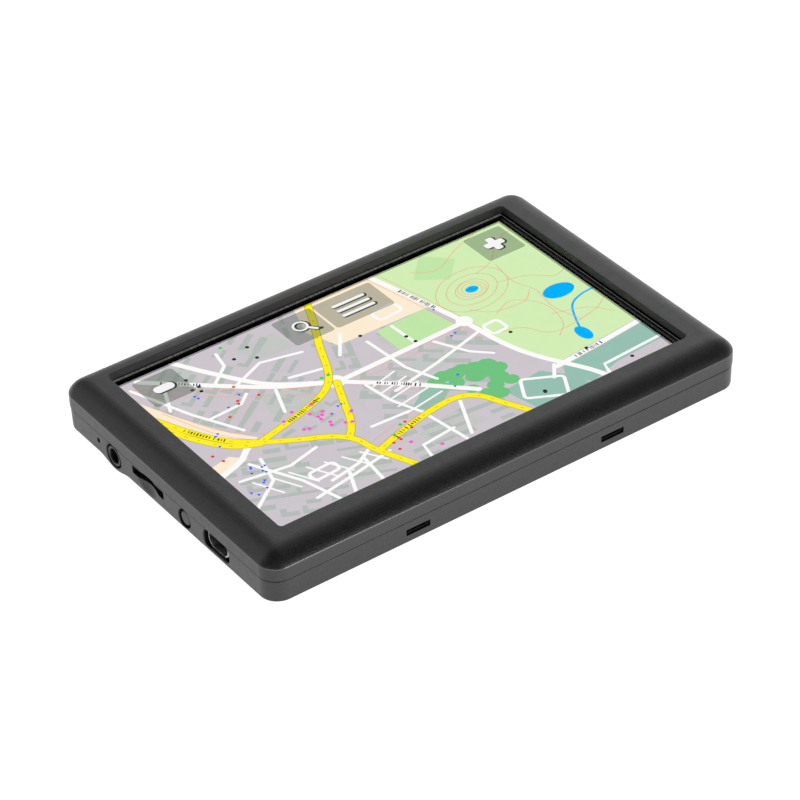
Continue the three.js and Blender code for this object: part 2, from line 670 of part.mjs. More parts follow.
function addCardSocket() {
  const { length, width, height, wall } = CARD_SOCKET;
  const x0 = LEFT_INNER + CARD_SOCKET_SETBACK;
  const z = [MOUNT_Z - height, MOUNT_Z];
  const inside = [z[0] + wall, z[1] - wall];
  const shell = cut(
    block([x0, x0 + length], around(CARD_Y, width), z),
    block([x0 - PAST, x0 + length - wall], around(CARD_Y, width - 2 * wall), inside),
  );
  add("card_socket_shell", shell, materials.steel);
  const { rail, railWidth, foot, clearance, gap } = CARD_SLIDER;
  const back = x0 + length - wall - CARD_TRAVEL - gap;
  const side = CARD_Y + width / 2 - wall - clearance;
  const high = [inside[0] + clearance, inside[1] - clearance];
  const slider = join(
    block([back - rail, back], [side - railWidth, side], high),
    block([back - foot, back], [CARD_Y + 1, side - railWidth / 2], high),
  );
  add("card_slider", slider, materials.white);
}

function addSwitch(name, y, z, size, travel, front) {
  const { depth, width, height } = size;
  const face = front + travel + SWITCH_FACE_GAP;
  const bore = PLUNGER_R + PLUNGER_CLEARANCE;
  const body = cut(
    block([face, face + depth], around(y, width), [MOUNT_Z - height, MOUNT_Z]),
    bar([face - PAST, face + PLUNGER_DEPTH + 0.1], y, z, bore, 16),
  );
  add(`${name}_switch_body`, body, materials.plastic);
  const plunger = bar([front, face + PLUNGER_DEPTH - travel], y, z, PLUNGER_R, 14);
  add(`${name}_switch_plunger`, plunger, materials.white);
}

function addButtons() {
  const flangeX = LEFT_INNER + 0.2;
  const { width, height, thick } = POWER_FLANGE;
  const cap = join(
    bar([LEFT_FACE + 0.1, flangeX + 0.1], POWER_Y, POWER_Z, POWER_CAP_R),
    block([flangeX, flangeX + thick], around(POWER_Y, width), around(POWER_Z, height)),
  );
  add("power_button", cap, materials.plastic);
  addSwitch("power", POWER_Y, POWER_Z, SWITCH, POWER_TRAVEL, flangeX + thick + STACK_GAP);
  addSwitch("reset", RESET_Y, RESET_Z, RESET_SWITCH, RESET_TRAVEL, flangeX);
}

// The section of the socket: a wide upper part and a lower part with two slanted sides.
function usbSection(width, height, chamfer) {
  const [w, h] = [width / 2, height / 2];
  const slant = -h + 2 * chamfer;
  return [[w, h], [w, slant], [w - chamfer, -h], [-w + chamfer, -h], [-w, slant], [-w, h]];
}

function usbBody([x0, x1], shrink) {
  const { width, height } = USB_SHELL;
  const section = usbSection(width - 2 * shrink, height - 2 * shrink, USB_CHAMFER - shrink / 3);
  const points = section.map(([y, z]) => new THREE.Vector2(y, z));
  const geometry = plate(points, 0, x1 - x0);
  return geometry.rotateX(Math.PI / 2).rotateZ(Math.PI / 2).translate(x0, USB_Y, USB_Z);
}

function addUsb() {
  const { length, wall } = USB_SHELL;
  const x0 = LEFT_FACE + USB_SETBACK;
  const x1 = x0 + length;
  const shell = cut(usbBody([x0, x1], 0), usbBody([x0 - PAST, x1 - wall], wall));
  add("usb_shell", shell, materials.steel);
  const back = x1 - wall - 0.1;
  const { width, thick, rise, setback } = USB_TONGUE;
  const tab = block([x0 + setback, back], around(USB_Y, width), around(USB_Z + rise, thick));
  const base = block(
    [back - USB_BASE.length, back],
    around(USB_Y, USB_BASE.width),
    around(USB_Z + USB_BASE.rise, USB_BASE.height),
  );
  add("usb_tongue", join(tab, base), materials.plastic);
}

// Two wires side by side across a line of [x, y, z] points.
function addWires(names, line, looks) {
  names.forEach((name, i) => {
    const side = (i - 0.5) * WIRE_SPACING;
    add(name, wire(line(side), WIRE_R, 8), looks[i]);
  });
}

function chipMiddle(name) {
  return CHIPS.find((chip) => chip[0] === name)[1];
}

function addPower() {
  const padZ = FLOOR + STACK_GAP;
  const cellZ = padZ + BATTERY_PAD.thick + STACK_GAP;
  const { x, y, width, depth, corner } = BATTERY;
  const { inset, thick } = BATTERY_PAD;
  const height = MOUNT_Z - BATTERY_BELOW_BOARD - cellZ;
  const pad = block(around(x, width - 2 * inset), around(y, depth - 2 * inset), [padZ, padZ + thick]);
  add("battery_pad", pad, materials.rubber);
  const cell = plate(roundedPoints(depth, height, corner, 4), 0, width);
  cell.rotateX(Math.PI / 2).rotateZ(Math.PI / 2).translate(x - width / 2, y, cellZ + height / 2);
  add("battery_cell", cell, materials.cell);
  const end = x + width / 2 + 0.3;
  const [plugX, plugY] = chipMiddle("battery_connector");
  addWires(["battery_wire_red", "battery_wire_black"], (side) => [
    [end, plugY + side, MOUNT_Z - WIRE_DROP - 0.9],
    [end + 1.6, plugY + side, MOUNT_Z - WIRE_DROP - 0.6],
    [plugX - 3.4, plugY + side, MOUNT_Z - WIRE_DROP],
  ], [materials.red, materials.rubber]);
}

function addSpeaker() {
  const { x, y, r, gasket } = SPEAKER;
  const low = FLOOR + STACK_GAP + gasket + STACK_GAP;
  const high = MOUNT_Z - SPEAKER_BELOW_BOARD;
  add("speaker_gasket", cut(
    post(x, y, r, [FLOOR + STACK_GAP, low - STACK_GAP]),
    post(x, y, r - 2, [FLOOR - PAST, low + PAST]),
  ), materials.rubber);
  const basket = turned(x, y, [
    [r - 1.8, low],
    [r, low],
    [r, low + 1],
    [r - 3.5, high - 1.5],
    [7.4, high - 1.5],
    [7.4, high - 1.9],
    [r - 4.2, high - 1.9],
    [r - 1.8, low + 1],
    [r - 1.8, low],
  ]);
  add("speaker_basket", basket, materials.steel);
  add("speaker_magnet", post(x, y, 7.0, [high - 1.6, high]), materials.silver);
  const coneLow = low + SPEAKER_TRAVEL + 0.05;
  const cone = turned(x, y, [
    [0, coneLow + 0.55],
    [3.5, coneLow + 0.25],
    [6.0, coneLow + 0.8],
    [r - 2.1, coneLow],
    [r - 2.1, coneLow + 0.2],
    [6.2, coneLow + 1.05],
    [3.5, coneLow + 0.5],
    [0, coneLow + 0.8],
  ]);
  add("speaker_cone", cone, materials.cone);
  const [plugX, plugY] = chipMiddle("speaker_connector");
  addWires(["speaker_wire_a", "speaker_wire_b"], (side) => [
    [x + 5 + side, y - r + 0.1, low + 3],
    [x + 7 + side, (y - r + plugY) / 2 + 1, low + 3.5],
    [plugX + side, plugY + 2.4, MOUNT_Z - WIRE_DROP],
  ], [materials.red, materials.rubber]);
}

addHousing();
addDisplay();
addBoard();
addFlexes();
addJack();
addCardSocket();
addButtons();
addUsb();
addPower();
addSpeaker();

export default navigator;
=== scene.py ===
"""A portable navigator lying on its back with its map lit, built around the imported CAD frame.

Shapes are made in millimetres and scaled to metres as each piece is finished.
"""
import json
import math
import random

import bmesh
import bpy
from mathutils import Matrix, Vector


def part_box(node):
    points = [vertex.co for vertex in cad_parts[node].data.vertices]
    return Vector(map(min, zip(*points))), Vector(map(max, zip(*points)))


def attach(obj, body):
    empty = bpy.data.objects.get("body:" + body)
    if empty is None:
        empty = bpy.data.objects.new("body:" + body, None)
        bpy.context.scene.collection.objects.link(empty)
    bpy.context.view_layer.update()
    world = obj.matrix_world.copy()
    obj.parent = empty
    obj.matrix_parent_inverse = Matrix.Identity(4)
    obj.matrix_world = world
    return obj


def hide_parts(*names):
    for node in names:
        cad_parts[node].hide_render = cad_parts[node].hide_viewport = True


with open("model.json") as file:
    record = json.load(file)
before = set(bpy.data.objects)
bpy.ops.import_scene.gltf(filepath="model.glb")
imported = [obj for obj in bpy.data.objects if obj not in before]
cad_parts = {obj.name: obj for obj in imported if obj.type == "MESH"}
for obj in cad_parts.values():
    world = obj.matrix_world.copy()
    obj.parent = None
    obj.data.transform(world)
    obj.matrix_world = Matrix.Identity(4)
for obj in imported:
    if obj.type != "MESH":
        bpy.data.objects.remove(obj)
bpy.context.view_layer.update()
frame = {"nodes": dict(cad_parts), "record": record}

MM = 0.001

# ---- sizes, in millimetres ----
CORNER_R = 4.8
INNER_CORNER_R = 1.2
SIDE_WALL = 1.8
FLOOR = 1.5
CROWN_H = 3.3
CROWN_W = 5.5
BEZEL_T = 1.7
RIM_FILLET = 0.7
WINDOW_SETBACK = 2.0  # from the gasket's outer edge to the window's
WINDOW_DRAFT = 0.3
WINDOW_R = 1.2
WINDOW_FILLET = 0.15
PARTING_FILLET = 0.22
PARTING_GAP = 0.12
BACK_RISE = 1.7
BACK_BORDER = 6.0
REAR_DRAFT = 0.12
TONGUE_SETBACK = 0.3  # of the rear housing's locating tongue from the side wall's inner face
TONGUE_T = 0.7
TONGUE_H = 1.0
TONGUE_PORT_GAP = 1.0  # from the first and the last port to the tongue's ends
WALL_REACH = 5.0  # how far a port's cutter goes in
MOUTH = 0.25  # the small chamfer round each opening

JACK_HOLE_R = 3.0
JACK_NOZZLE_R = 2.55
JACK_BORE_R = 1.8
JACK_NOZZLE_L = 2.9
JACK_BODY_SETBACK = 3.9
JACK_END_WALL = 1.0
JACK_SWELL = 1.15  # how far the wall reaches down under the jack
JACK_SWELL_HALF = 6.0
POWER_HOLE_R = 2.35
POWER_CAP_R = 1.75
POWER_FLANGE_T = 0.65
RESET_HOLE_R = 0.6
RESET_MOUTH = 0.1
CARD_SLOT = (12.7, 2.1)
CARD_MOUTH = 0.12
CARD_RISE = 0.2  # of the socket's middle over the slot's
SCOOP = (10.6, 0.9, 3.2)  # width, depth, drop
USB_POCKET = (9.9, 4.4, 1.7)  # width, height, corner
CRADLE_SLOT = (6.4, 1.6)
CRADLE_EDGE = 0.08
CRADLE_SPACING = 53.6
CRADLE_X = 0.5
CRADLE_Z = 4.35
SCREW_HOLE_R = 1.9
SCREW_BORE_R = 1.1
SCREW_BORE_TOP = 9.0
SCREW_SEAT = 1.15  # from the head's face to the bottom of its well
GRILLE_R = 10.5
GRILLE_SLOT = 1.3
GRILLE_PITCH = 2.6
GRILLE_DEPTH = 3.0
LABEL = (46.0, 22.0, -6.0, -12.0, 0.25)  # width, depth, x, y, recess

ACTIVE = (108.0, 64.8)
ACTIVE_UP = 2.4  # the display's dead border is wider at the front
CLEAR_MARGIN = 0.9  # of the film's clear part past the lit area, at the left and the front
EDGE_HIGHLIGHT_SETBACK = 0.55  # of the painted highlight line from the window's edge
EDGE_HIGHLIGHT_W = 0.2
COMB_W = 0.8  # the band of fine pale strokes along the back edge, a painted highlight
PAINTED_GLOW = 0.07  # a painted glow on the strokes, standing in for the display's light in the glass
SHADE_W = 0.6  # the shaded edge of the lit picture
CAP_RECESS = 0.22  # of the power key's cap, past the CAD cap's face
USB_CHAMFER = 1.2
USB_ROUND = 0.45
USB_SHEET = 0.3  # the socket shell's thickness
SCREW_HEAD_H = 1.1
SCREW_R = 0.8
SCREW_THREAD = 0.16
SCREW_PITCH = 0.5
SCREW_CROSS = (0.85, 0.2, 0.6)  # half length, half width, depth
BUTTON_HALF_H = 5.5
BUTTON_DROP = 7.0  # from the picture's top edge to the middle of the buttons
ICON_EDGE = 0.28
ICON_DROP = 0.2  # how far an icon's dark edge lies aside of it
MARK_R = 0.5
LAYER = 0.004  # between the layers of the lit picture
SHARP_ANGLE = 32.0  # degrees

# ---- light: grey levels against height, and against the cosine from the middle of the soft light ----
LIGHT_AZIMUTH = 46.0
LIGHT_ELEVATION = 34.0
LIGHT_AIM = Vector((0, 0, 0.01))
HORIZON = [(0.0, 0.3), (0.12, 0.2), (0.3, 0.02), (1.0, 0.02)]
BACK_LIGHT = [(0.35, 0.0), (0.55, 0.08), (0.8, 0.3), (0.89, 0.55), (0.95, 0.95), (0.985, 1.3), (1.0, 1.6)]
FLOOR_GLOW = (1.5, 0.97, -0.08, -0.035)  # the strength in front and behind, and the two places in metres
FLOOR_HALF = 3000.0
FLOOR_T = 20.0

# ---- camera: metres, degrees, and millimetres of lens ----
CAMERA_PLACE = (-0.34355, -0.49569, 0.44690)
CAMERA_AZIMUTH = 34.659
CAMERA_ELEVATION = 36.402
CAMERA_ROLL = -2.230
CAMERA_LENS = 148.05
CAMERA_SENSOR = 36.0


def box_mm(node):
    low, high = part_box(node)
    return low / MM, high / MM


def middle_mm(node):
    low, high = box_mm(node)
    return (low + high) / 2


def direction(azimuth, elevation):
    """The unit vector that points there, from angles in degrees."""
    turn, rise = math.radians(azimuth), math.radians(elevation)
    return Vector((math.sin(turn) * math.cos(rise), math.cos(turn) * math.cos(rise), math.sin(rise)))


# ---- outlines and sections ----


def corners(box):
    """The corners of a rectangle given as (low x, low y, high x, high y), anticlockwise."""
    x0, y0, x1, y1 = box
    return [(x0, y0), (x1, y0), (x1, y1), (x0, y1)]


def rounded(half_x, half_y, radius, steps=16, stops=()):
    """A rounded rectangle, anticlockwise. stops are extra places along its left side, from the top down."""
    points = []
    for quarter, (sx, sy) in enumerate(((1, 1), (-1, 1), (-1, -1), (1, -1))):
        for step in range(steps + 1):
            angle = (quarter + step / steps) * math.pi / 2
            x = sx * (half_x - radius) + radius * math.cos(angle)
            y = sy * (half_y - radius) + radius * math.sin(angle)
            points.append((x, y))
        if quarter == 1:
            points += [(-half_x, y) for y in stops]
    return points


def circle(radius, steps=48):
    turns = [2 * math.pi * step / steps for step in range(steps)]
    return [(radius * math.cos(turn), radius * math.sin(turn)) for turn in turns]


def fillet(knots, steps=5):
    """A line through knots (x, y, radius), each rounded with an arc of its radius."""
    line = [tuple(knots[0][:2])]
    for before, (x, y, radius), after in zip(knots, knots[1:], knots[2:]):
        if not radius:
            line.append((x, y))
            continue
        corner = Vector((x, y))
        back = (Vector(before[:2]) - corner).normalized()
        ahead = (Vector(after[:2]) - corner).normalized()
        half = back.angle(ahead) / 2
        centre = corner + (back + ahead).normalized() * radius / math.sin(half)
        start = corner + back * radius / math.tan(half) - centre
        end = corner + ahead * radius / math.tan(half) - centre
        first = math.atan2(start.y, start.x)
        turn = math.atan2(end.y, end.x) - first
        turn = (turn + math.pi) % (2 * math.pi) - math.pi
        for step in range(steps + 1):
            angle = first + turn * step / steps
            line.append((centre.x + radius * math.cos(angle), centre.y + radius * math.sin(angle)))
    line.append(tuple(knots[-1][:2]))
    return line


# ---- meshes ----


def band(shape, low, high):
    """Faces between two rings of corners."""
    for i, corner in enumerate(low):
        j = (i + 1) % len(low)
        shape.faces.new((corner, low[j], high[j], high[i]))


def solid(rings, closed=False):
    """A shape through rings of points. Its ends are capped, or joined when it is closed."""
    shape = bmesh.new()
    loops = [[shape.verts.new(point) for point in ring] for ring in rings]
    pairs = list(zip(loops, loops[1:]))
    if closed:
        pairs.append((loops[-1], loops[0]))
    for low, high in pairs:
        band(shape, low, high)
    if not closed:
        shape.faces.new(list(reversed(loops[0])))
        shape.faces.new(loops[-1])
    bmesh.ops.recalc_face_normals(shape, faces=shape.faces)
    return shape


def prism(outline, levels):
    """outline(grow) gives the outline made larger by grow; levels are (grow, z) from one end to the other."""
    return solid([[(x, y, z) for x, y in outline(grow)] for grow, z in levels])


def turned(profile, steps=48, closed=False):
    """A body turned about Z from (radius, z) pairs."""
    return solid([[(x, y, z) for x, y in circle(radius, steps)] for radius, z in profile], closed)


def block(low, high):
    (x0, y0, z0), (x1, y1, z1) = low, high
    return solid([[(x, y, z) for x, y in corners((x0, y0, x1, y1))] for z in (z0, z1)])


def level(shape, outline, z):
    """Corners of a mesh along a flat outline."""
    return [shape.verts.new((x, y, z)) for x, y in outline]


def face_up(shape):
    for face in shape.faces:
        if face.normal.z < 0:
            face.normal_flip()


def placed(shape, matrix):
    bmesh.ops.transform(shape, matrix=matrix, verts=shape.verts)
    return shape


def into_left_wall(y, z, x):
    """Turns a shape drawn flat, with its depth along Z, to go into the left wall: its X runs along +Y."""
    return Matrix(((0, 0, 1, x), (1, 0, 0, y), (0, 1, 0, z), (0, 0, 0, 1)))


def front_of(node):
    """The place in the left wall of a CAD node's outer end."""
    middle = middle_mm(node)
    return into_left_wall(middle.y, middle.z, box_mm(node)[0].x)


def into_long_wall(x, z, y, side):
    """The same for the front wall (side -1) or the back wall (side 1)."""
    return Matrix(((side, 0, 0, x), (0, 0, -side, y), (0, 1, 0, z), (0, 0, 0, 1)))


def shown(name, data):
    made = bpy.data.objects.new(name, data)
    bpy.context.scene.collection.objects.link(made)
    return made


def object_from(shape, name):
    mesh = bpy.data.meshes.new(name)
    shape.to_mesh(mesh)
    shape.free()
    return shown(name, mesh)


def combine(target, shape, operation="DIFFERENCE"):
    tool = object_from(shape, "tool")
    modifier = target.modifiers.new("join", "BOOLEAN")
    modifier.operation = operation
    modifier.solver = "EXACT"
    modifier.object = tool
    graph = bpy.context.evaluated_depsgraph_get()
    mesh = bpy.data.meshes.new_from_object(target.evaluated_get(graph))
    target.modifiers.clear()
    target.data = mesh
    bpy.data.objects.remove(tool)


def finished(made, look, body="root", replaces=()):
    """Scales the piece to metres, shades it, and ties it to the frame. look is one material or a list."""
    mesh = made.data
    mesh.transform(Matrix.Scale(MM, 4))
    for each in look if isinstance(look, list) else [look]:
        mesh.materials.append(each)
    mesh.shade_smooth()
    mesh.set_sharp_from_angle(angle=math.radians(SHARP_ANGLE))
    weigh = made.modifiers.new("normals", "WEIGHTED_NORMAL")
    weigh.keep_sharp = True
    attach(made, body)
    if replaces:
        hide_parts(*replaces)


# ---- looks ----


class Graph:
    """A node tree, and ways to add nodes to it."""

    def __init__(self, tree, coordinates):
        self.tree = tree
        self.place = self.node("ShaderNodeTexCoord").outputs[coordinates]

    def node(self, kind, inputs=None, **settings):
        made = self.tree.nodes.new(kind)
        for setting, value in settings.items():
            setattr(made, setting, value)
        self.feed(made, inputs or {})
        return made

    def feed(self, node, inputs):
        """Links each input to another node's output, or sets it when it is given a plain value."""
        for socket, value in inputs.items():
            if isinstance(value, bpy.types.NodeSocket):
                self.tree.links.new(value, node.inputs[socket])
            else:
                node.inputs[socket].default_value = value

    def ramp(self, source, stops):
        """Grey levels along a value."""
        made = self.node("ShaderNodeValToRGB", {"Fac": source})
        elements = made.color_ramp.elements
        elements.remove(elements[1])
        for number, (position, level) in enumerate(stops):
            element = elements.new(position) if number else elements[0]
            element.position = position
            element.color = (level, level, level, 1)
        return made.outputs["Color"]


class Look(Graph):
    """A material with a Principled shader and the patterns that feed it. Sizes are in millimetres."""

    def __init__(self, name, colour, roughness, metallic=0.0):
        self.material = bpy.data.materials.new(name)
        self.material.use_nodes = True
        super().__init__(self.material.node_tree, "Object")
        self.shader = self.tree.nodes["Principled BSDF"]
        self.shade({"Base Color": (*colour, 1), "Roughness": roughness, "Metallic": metallic})

    def shade(self, inputs):
        self.feed(self.shader, inputs)

    def mapped(self, stretch):
        if not stretch:
            return self.place
        return self.node("ShaderNodeMapping", {"Scale": stretch, "Vector": self.place}).outputs["Vector"]

    def noise(self, size, detail=2.0, stretch=None):
        inputs = {"Scale": 1 / (size * MM), "Detail": detail, "Vector": self.mapped(stretch)}
        return self.node("ShaderNodeTexNoise", inputs).outputs["Fac"]

    def cell_edges(self, size, stretch):
        inputs = {"Scale": 1 / (size * MM), "Vector": self.mapped(stretch)}
        return self.node("ShaderNodeTexVoronoi", inputs, feature="DISTANCE_TO_EDGE").outputs["Distance"]

    def spread(self, source, low, high, start=0.3, stop=0.7):
        inputs = {"From Min": start, "From Max": stop, "To Min": low, "To Max": high, "Value": source}
        return self.node("ShaderNodeMapRange", inputs).outputs["Result"]

    def colours(self, source, first, second, start=0.3, stop=0.7, target="Base Color"):
        inputs = {"A": (*first, 1), "B": (*second, 1), "Factor": self.spread(source, 0, 1, start, stop)}
        self.shade({target: self.node("ShaderNodeMix", inputs, data_type="RGBA").outputs["Result"]})

    def rough(self, source, low, high):
        self.shade({"Roughness": self.spread(source, low, high)})

    def bumps(self, source, height):
        made = self.node("ShaderNodeBump", {"Distance": height * MM, "Height": source})
        self.shade({"Normal": made.outputs["Normal"]})


def srgb(red, green, blue):
    """Screen colours from 0 to 255 as linear light."""
    shares = [channel / 255 for channel in (red, green, blue)]
    return tuple(s / 12.92 if s <= 0.04045 else ((s + 0.055) / 1.055) ** 2.4 for s in shares)


def scaled(colour, share):
    return tuple(channel * share for channel in colour)


def plastic(name, colour, roughness, grain=0.22, height=0.006, spread=0.16, shine=0.5):
    """Moulded plastic with the fine even grain of a spark-eroded tool."""
    look = Look(name, colour, roughness)
    look.shade({"Specular IOR Level": shine})
    fine = look.noise(grain, 3.0)
    look.colours(fine, scaled(colour, 1 - spread), scaled(colour, 1 + spread))
    look.rough(look.noise(6 * grain, 2.0), roughness - 0.03, roughness + 0.03)
    look.bumps(fine, height)
    return look.material


def metal(name, colour, roughness, stretch=(1, 12, 12)):
    """Stamped or drawn metal with fine lines along one way."""
    look = Look(name, colour, roughness, 1.0)
    lines = look.noise(1.2, 3.0, stretch)
    look.colours(lines, scaled(colour, 0.85), colour)
    look.rough(lines, roughness - 0.06, roughness + 0.1)
    look.bumps(lines, 0.003)
    return look.material


def clear(name, index, roughness):
    """A clear sheet: light goes straight through, and its outer faces mirror a little."""
    look = Look(name, (1, 1, 1), roughness)
    look.tree.nodes.remove(look.shader)
    see = look.node("ShaderNodeBsdfTransparent").outputs["BSDF"]
    shine = look.node("ShaderNodeBsdfGlossy", {"Roughness": roughness}).outputs["BSDF"]
    fresnel = look.node("ShaderNodeFresnel", {"IOR": index}).outputs["Fac"]
    smears = look.spread(look.noise(18.0), 0.9, 1.0)
    behind = look.node("ShaderNodeNewGeometry").outputs["Backfacing"]
    outside = look.node("ShaderNodeMath", {0: smears, 1: behind}, operation="SUBTRACT").outputs["Value"]
    share = look.node("ShaderNodeMath", {0: outside, 1: fresnel}, operation="MULTIPLY", use_clamp=True)
    mix = look.node("ShaderNodeMixShader", {0: share.outputs["Value"], 1: see, 2: shine})
    look.feed(look.tree.nodes["Material Output"], {"Surface": mix.outputs["Shader"]})
    return look.material


def lit(name, colour, opacity=1.0):
    """A colour of the lit picture."""
    look = Look(name, (0, 0, 0), 0.4)
    look.colours(look.noise(2.5), scaled(colour, 0.985), scaled(colour, 1.005), target="Emission Color")
    look.shade({"Emission Strength": 1.0, "Specular IOR Level": 0.0, "Alpha": opacity})
    return look.material


def board_look(name):
    """Green solder mask with paler tracks."""
    look = Look(name, (0.012, 0.06, 0.025), 0.4)
    tracks = look.cell_edges(2.2, (1, 3, 1))
    look.colours(tracks, (0.02, 0.1, 0.045), (0.012, 0.06, 0.025), 0.05, 0.12)
    look.bumps(look.noise(0.8), 0.01)
    return look.material


def striped(name, roughness, first, second, size, stretch, band, height):
    """Even lines along the piece: the copper of a flat cable, or fine pale strokes that paint a highlight."""
    look = Look(name, first, roughness)
    lines = look.noise(size, 0.0, (1, stretch, stretch))
    look.colours(lines, first, second, 0.5 - band, 0.5 + band)
    look.bumps(lines, height)
    return look


LOOKS = {
    "housing": plastic("charcoal_plastic", (0.019, 0.019, 0.020), 0.37, 0.36, 0.06, 0.4, shine=0.58),
    "black_plastic": plastic("black_plastic", (0.016, 0.016, 0.017), 0.42, 0.3, 0.004),
    "white_plastic": plastic("white_plastic", (0.72, 0.7, 0.64), 0.5, 0.5, 0.004, 0.05),
    "touch_film": plastic("black_print", (0.006, 0.006, 0.007), 0.22, 0.6, 0.001),
    "touch_glass": clear("clear_glass", 1.04, 0.02),
    "screen": plastic("display_glass", (0.008, 0.008, 0.010), 0.18, 0.8, 0.001),
    "diffuser": plastic("light_guide", (0.8, 0.8, 0.76), 0.4, 1.0, 0.004, 0.03),
    "steel": metal("stamped_steel", (0.55, 0.55, 0.56), 0.32),
    "board": board_look("circuit_board"),
    "chip": plastic("chip_epoxy", (0.02, 0.02, 0.022), 0.55, 0.2, 0.006),
    "ceramic": plastic("ceramic", (0.62, 0.52, 0.38), 0.6, 0.3, 0.006, 0.08),
    "silver": metal("silver_plate", (0.82, 0.81, 0.78), 0.28, (4, 4, 4)),
    "cell": metal("cell_foil", (0.6, 0.61, 0.63), 0.36, (1, 3, 3)),
    "flex": striped("flat_cable", 0.35, (0.26, 0.09, 0.02), (0.5, 0.2, 0.05), 0.4, 0.01, 0.05, 0.01).material,
    "rubber": plastic("black_foam", (0.014, 0.014, 0.014), 0.85, 0.5, 0.03),
    "red_wire": plastic("red_insulation", (0.36, 0.02, 0.02), 0.45, 0.6, 0.004, 0.08),
    "cone": plastic("cone_film", (0.03, 0.032, 0.036), 0.4, 1.2, 0.01),
}
CLEAR_FILM = clear("clear_film", 1.06, 0.05)
SHADE = lit("shaded_edge", (0, 0, 0), 0.55)
# Painted highlight: a pale line stands in for light caught at the film's edge
EDGE_HIGHLIGHT_LOOK = plastic("painted_edge_highlight", (0.85, 0.85, 0.84), 0.5, 0.6, 0.001, 0.1)
# Painted highlight: pale strokes stand in for a ledge at the film's edge catching light, and they get a faint
# painted glow
HIGHLIGHT_STROKES = striped("painted_highlight_strokes", 0.5, (0.12, 0.12, 0.12), (0.6, 0.6, 0.6), 0.3, 0.02, 0.08, 0.004)
HIGHLIGHT_STROKES.shade({"Emission Color": (1, 1, 1, 1), "Emission Strength": PAINTED_GLOW})
# Painted light: the window's sloped wall is the housing plastic made paler, so that it reads lit
WINDOW_WALL_PAINTED_LIGHT = plastic("window_wall_painted_light", (0.068, 0.068, 0.069), 0.6)
RIM = plastic("rubbed_rim", (0.016, 0.016, 0.017), 0.24, height=0.002, shine=1.0)
TONGUE_LOOK = plastic("usb_tongue", (0.13, 0.13, 0.135), 0.5, 0.4, 0.004)


def dress_cad_nodes():
    """Gives every CAD node the look of its slot in the record."""
    for subpart in frame["record"]["subparts"]:
        materials = frame["nodes"][subpart["node"]].data.materials
        materials.clear()
        materials.append(LOOKS[subpart["material_slot"]])


# ---- housing ----

FRONT_LOW, FRONT_HIGH = box_mm("front_shell")
REAR_LOW, REAR_HIGH = box_mm("rear_shell")
PART_Z = FRONT_LOW.z
TOP_Z = FRONT_HIGH.z
RIM_Z = TOP_Z - CROWN_H
BEZEL_UNDER = TOP_Z - BEZEL_T
REAR_INSET = FRONT_HIGH.x - REAR_HIGH.x
REAR_TOP = PART_Z - PARTING_GAP
LEFT_FACE = REAR_LOW.x


def outer_ring(inset, z, stops=()):
    """A level of the housing, inset from its outer face."""
    half_x = FRONT_HIGH.x - inset
    half_y = (FRONT_HIGH.y - FRONT_LOW.y) / 2 - inset
    corner = max(CORNER_R - inset, INNER_CORNER_R)
    return [(x, y, z) for x, y in rounded(half_x, half_y, corner, stops=stops)]


def window_ring(inset, z):
    low, high = box_mm("window_gasket")
    half = (high - low) / 2
    corner = max(WINDOW_R - inset, 0.3)
    outline = rounded(half.x - WINDOW_SETBACK - inset, half.y - WINDOW_SETBACK - inset, corner)
    return [(x, y + (low.y + high.y) / 2, z) for x, y in outline]


def crown_line(steps=24):
    """The bezel's crown leaves the rim steeply and ends level at the flat top."""
    sweep = 2 * math.atan(CROWN_H / CROWN_W)
    radius = CROWN_W / math.sin(sweep)
    angles = [sweep * (1 - step / steps) for step in range(steps + 1)]
    return [(CROWN_W - radius * math.sin(a), TOP_Z - radius * (1 - math.cos(a))) for a in angles]


def front_shell():
    crown = crown_line()
    wall = [(SIDE_WALL, PART_Z, 0), (0, PART_Z, PARTING_FILLET), (0, RIM_Z, RIM_FILLET)]
    outside = fillet(wall + [(inset, z, 0) for inset, z in crown[1:]])
    edge = fillet([
        (-0.4, TOP_Z, 0),
        (0, TOP_Z, WINDOW_FILLET),
        (WINDOW_DRAFT, BEZEL_UNDER, 0.1),
        (-1.0, BEZEL_UNDER, 0),
    ])
    rings = [outer_ring(inset, z) for inset, z in outside]
    rings += [window_ring(inset, z) for inset, z in edge]
    rings += [outer_ring(2 * SIDE_WALL, BEZEL_UNDER), outer_ring(SIDE_WALL, RIM_Z - 0.3)]
    shape = solid(rings, closed=True)
    # Faces of the window's wall get the paler copy of the plastic, which is painted light
    for face in shape.faces:
        z, steep = face.calc_center_median().z, face.normal.z
        if abs(steep) < 0.5 and BEZEL_UNDER < z < TOP_Z - 0.05:
            face.material_index = 1
        elif abs(z - RIM_Z) < 0.6 * RIM_FILLET and 0.03 < steep < 0.46:
            face.material_index = 2
    made = object_from(shape, "front_housing")
    finished(made, [LOOKS["housing"], WINDOW_WALL_PAINTED_LIGHT, RIM], replaces=["front_shell"])


def swell(shape):
    """Lets the left wall reach further down in a soft curve under the audio jack."""
    jack = middle_mm("jack_body")
    for vertex in shape.verts:
        away = abs(vertex.co.y - jack.y) / JACK_SWELL_HALF
        if away < 1 and vertex.co.x < LEFT_FACE + 1 and 0.5 < vertex.co.z < BACK_RISE + 1.2:
            vertex.co.z -= JACK_SWELL * (0.5 + 0.5 * math.cos(math.pi * away)) ** 0.8
    return shape


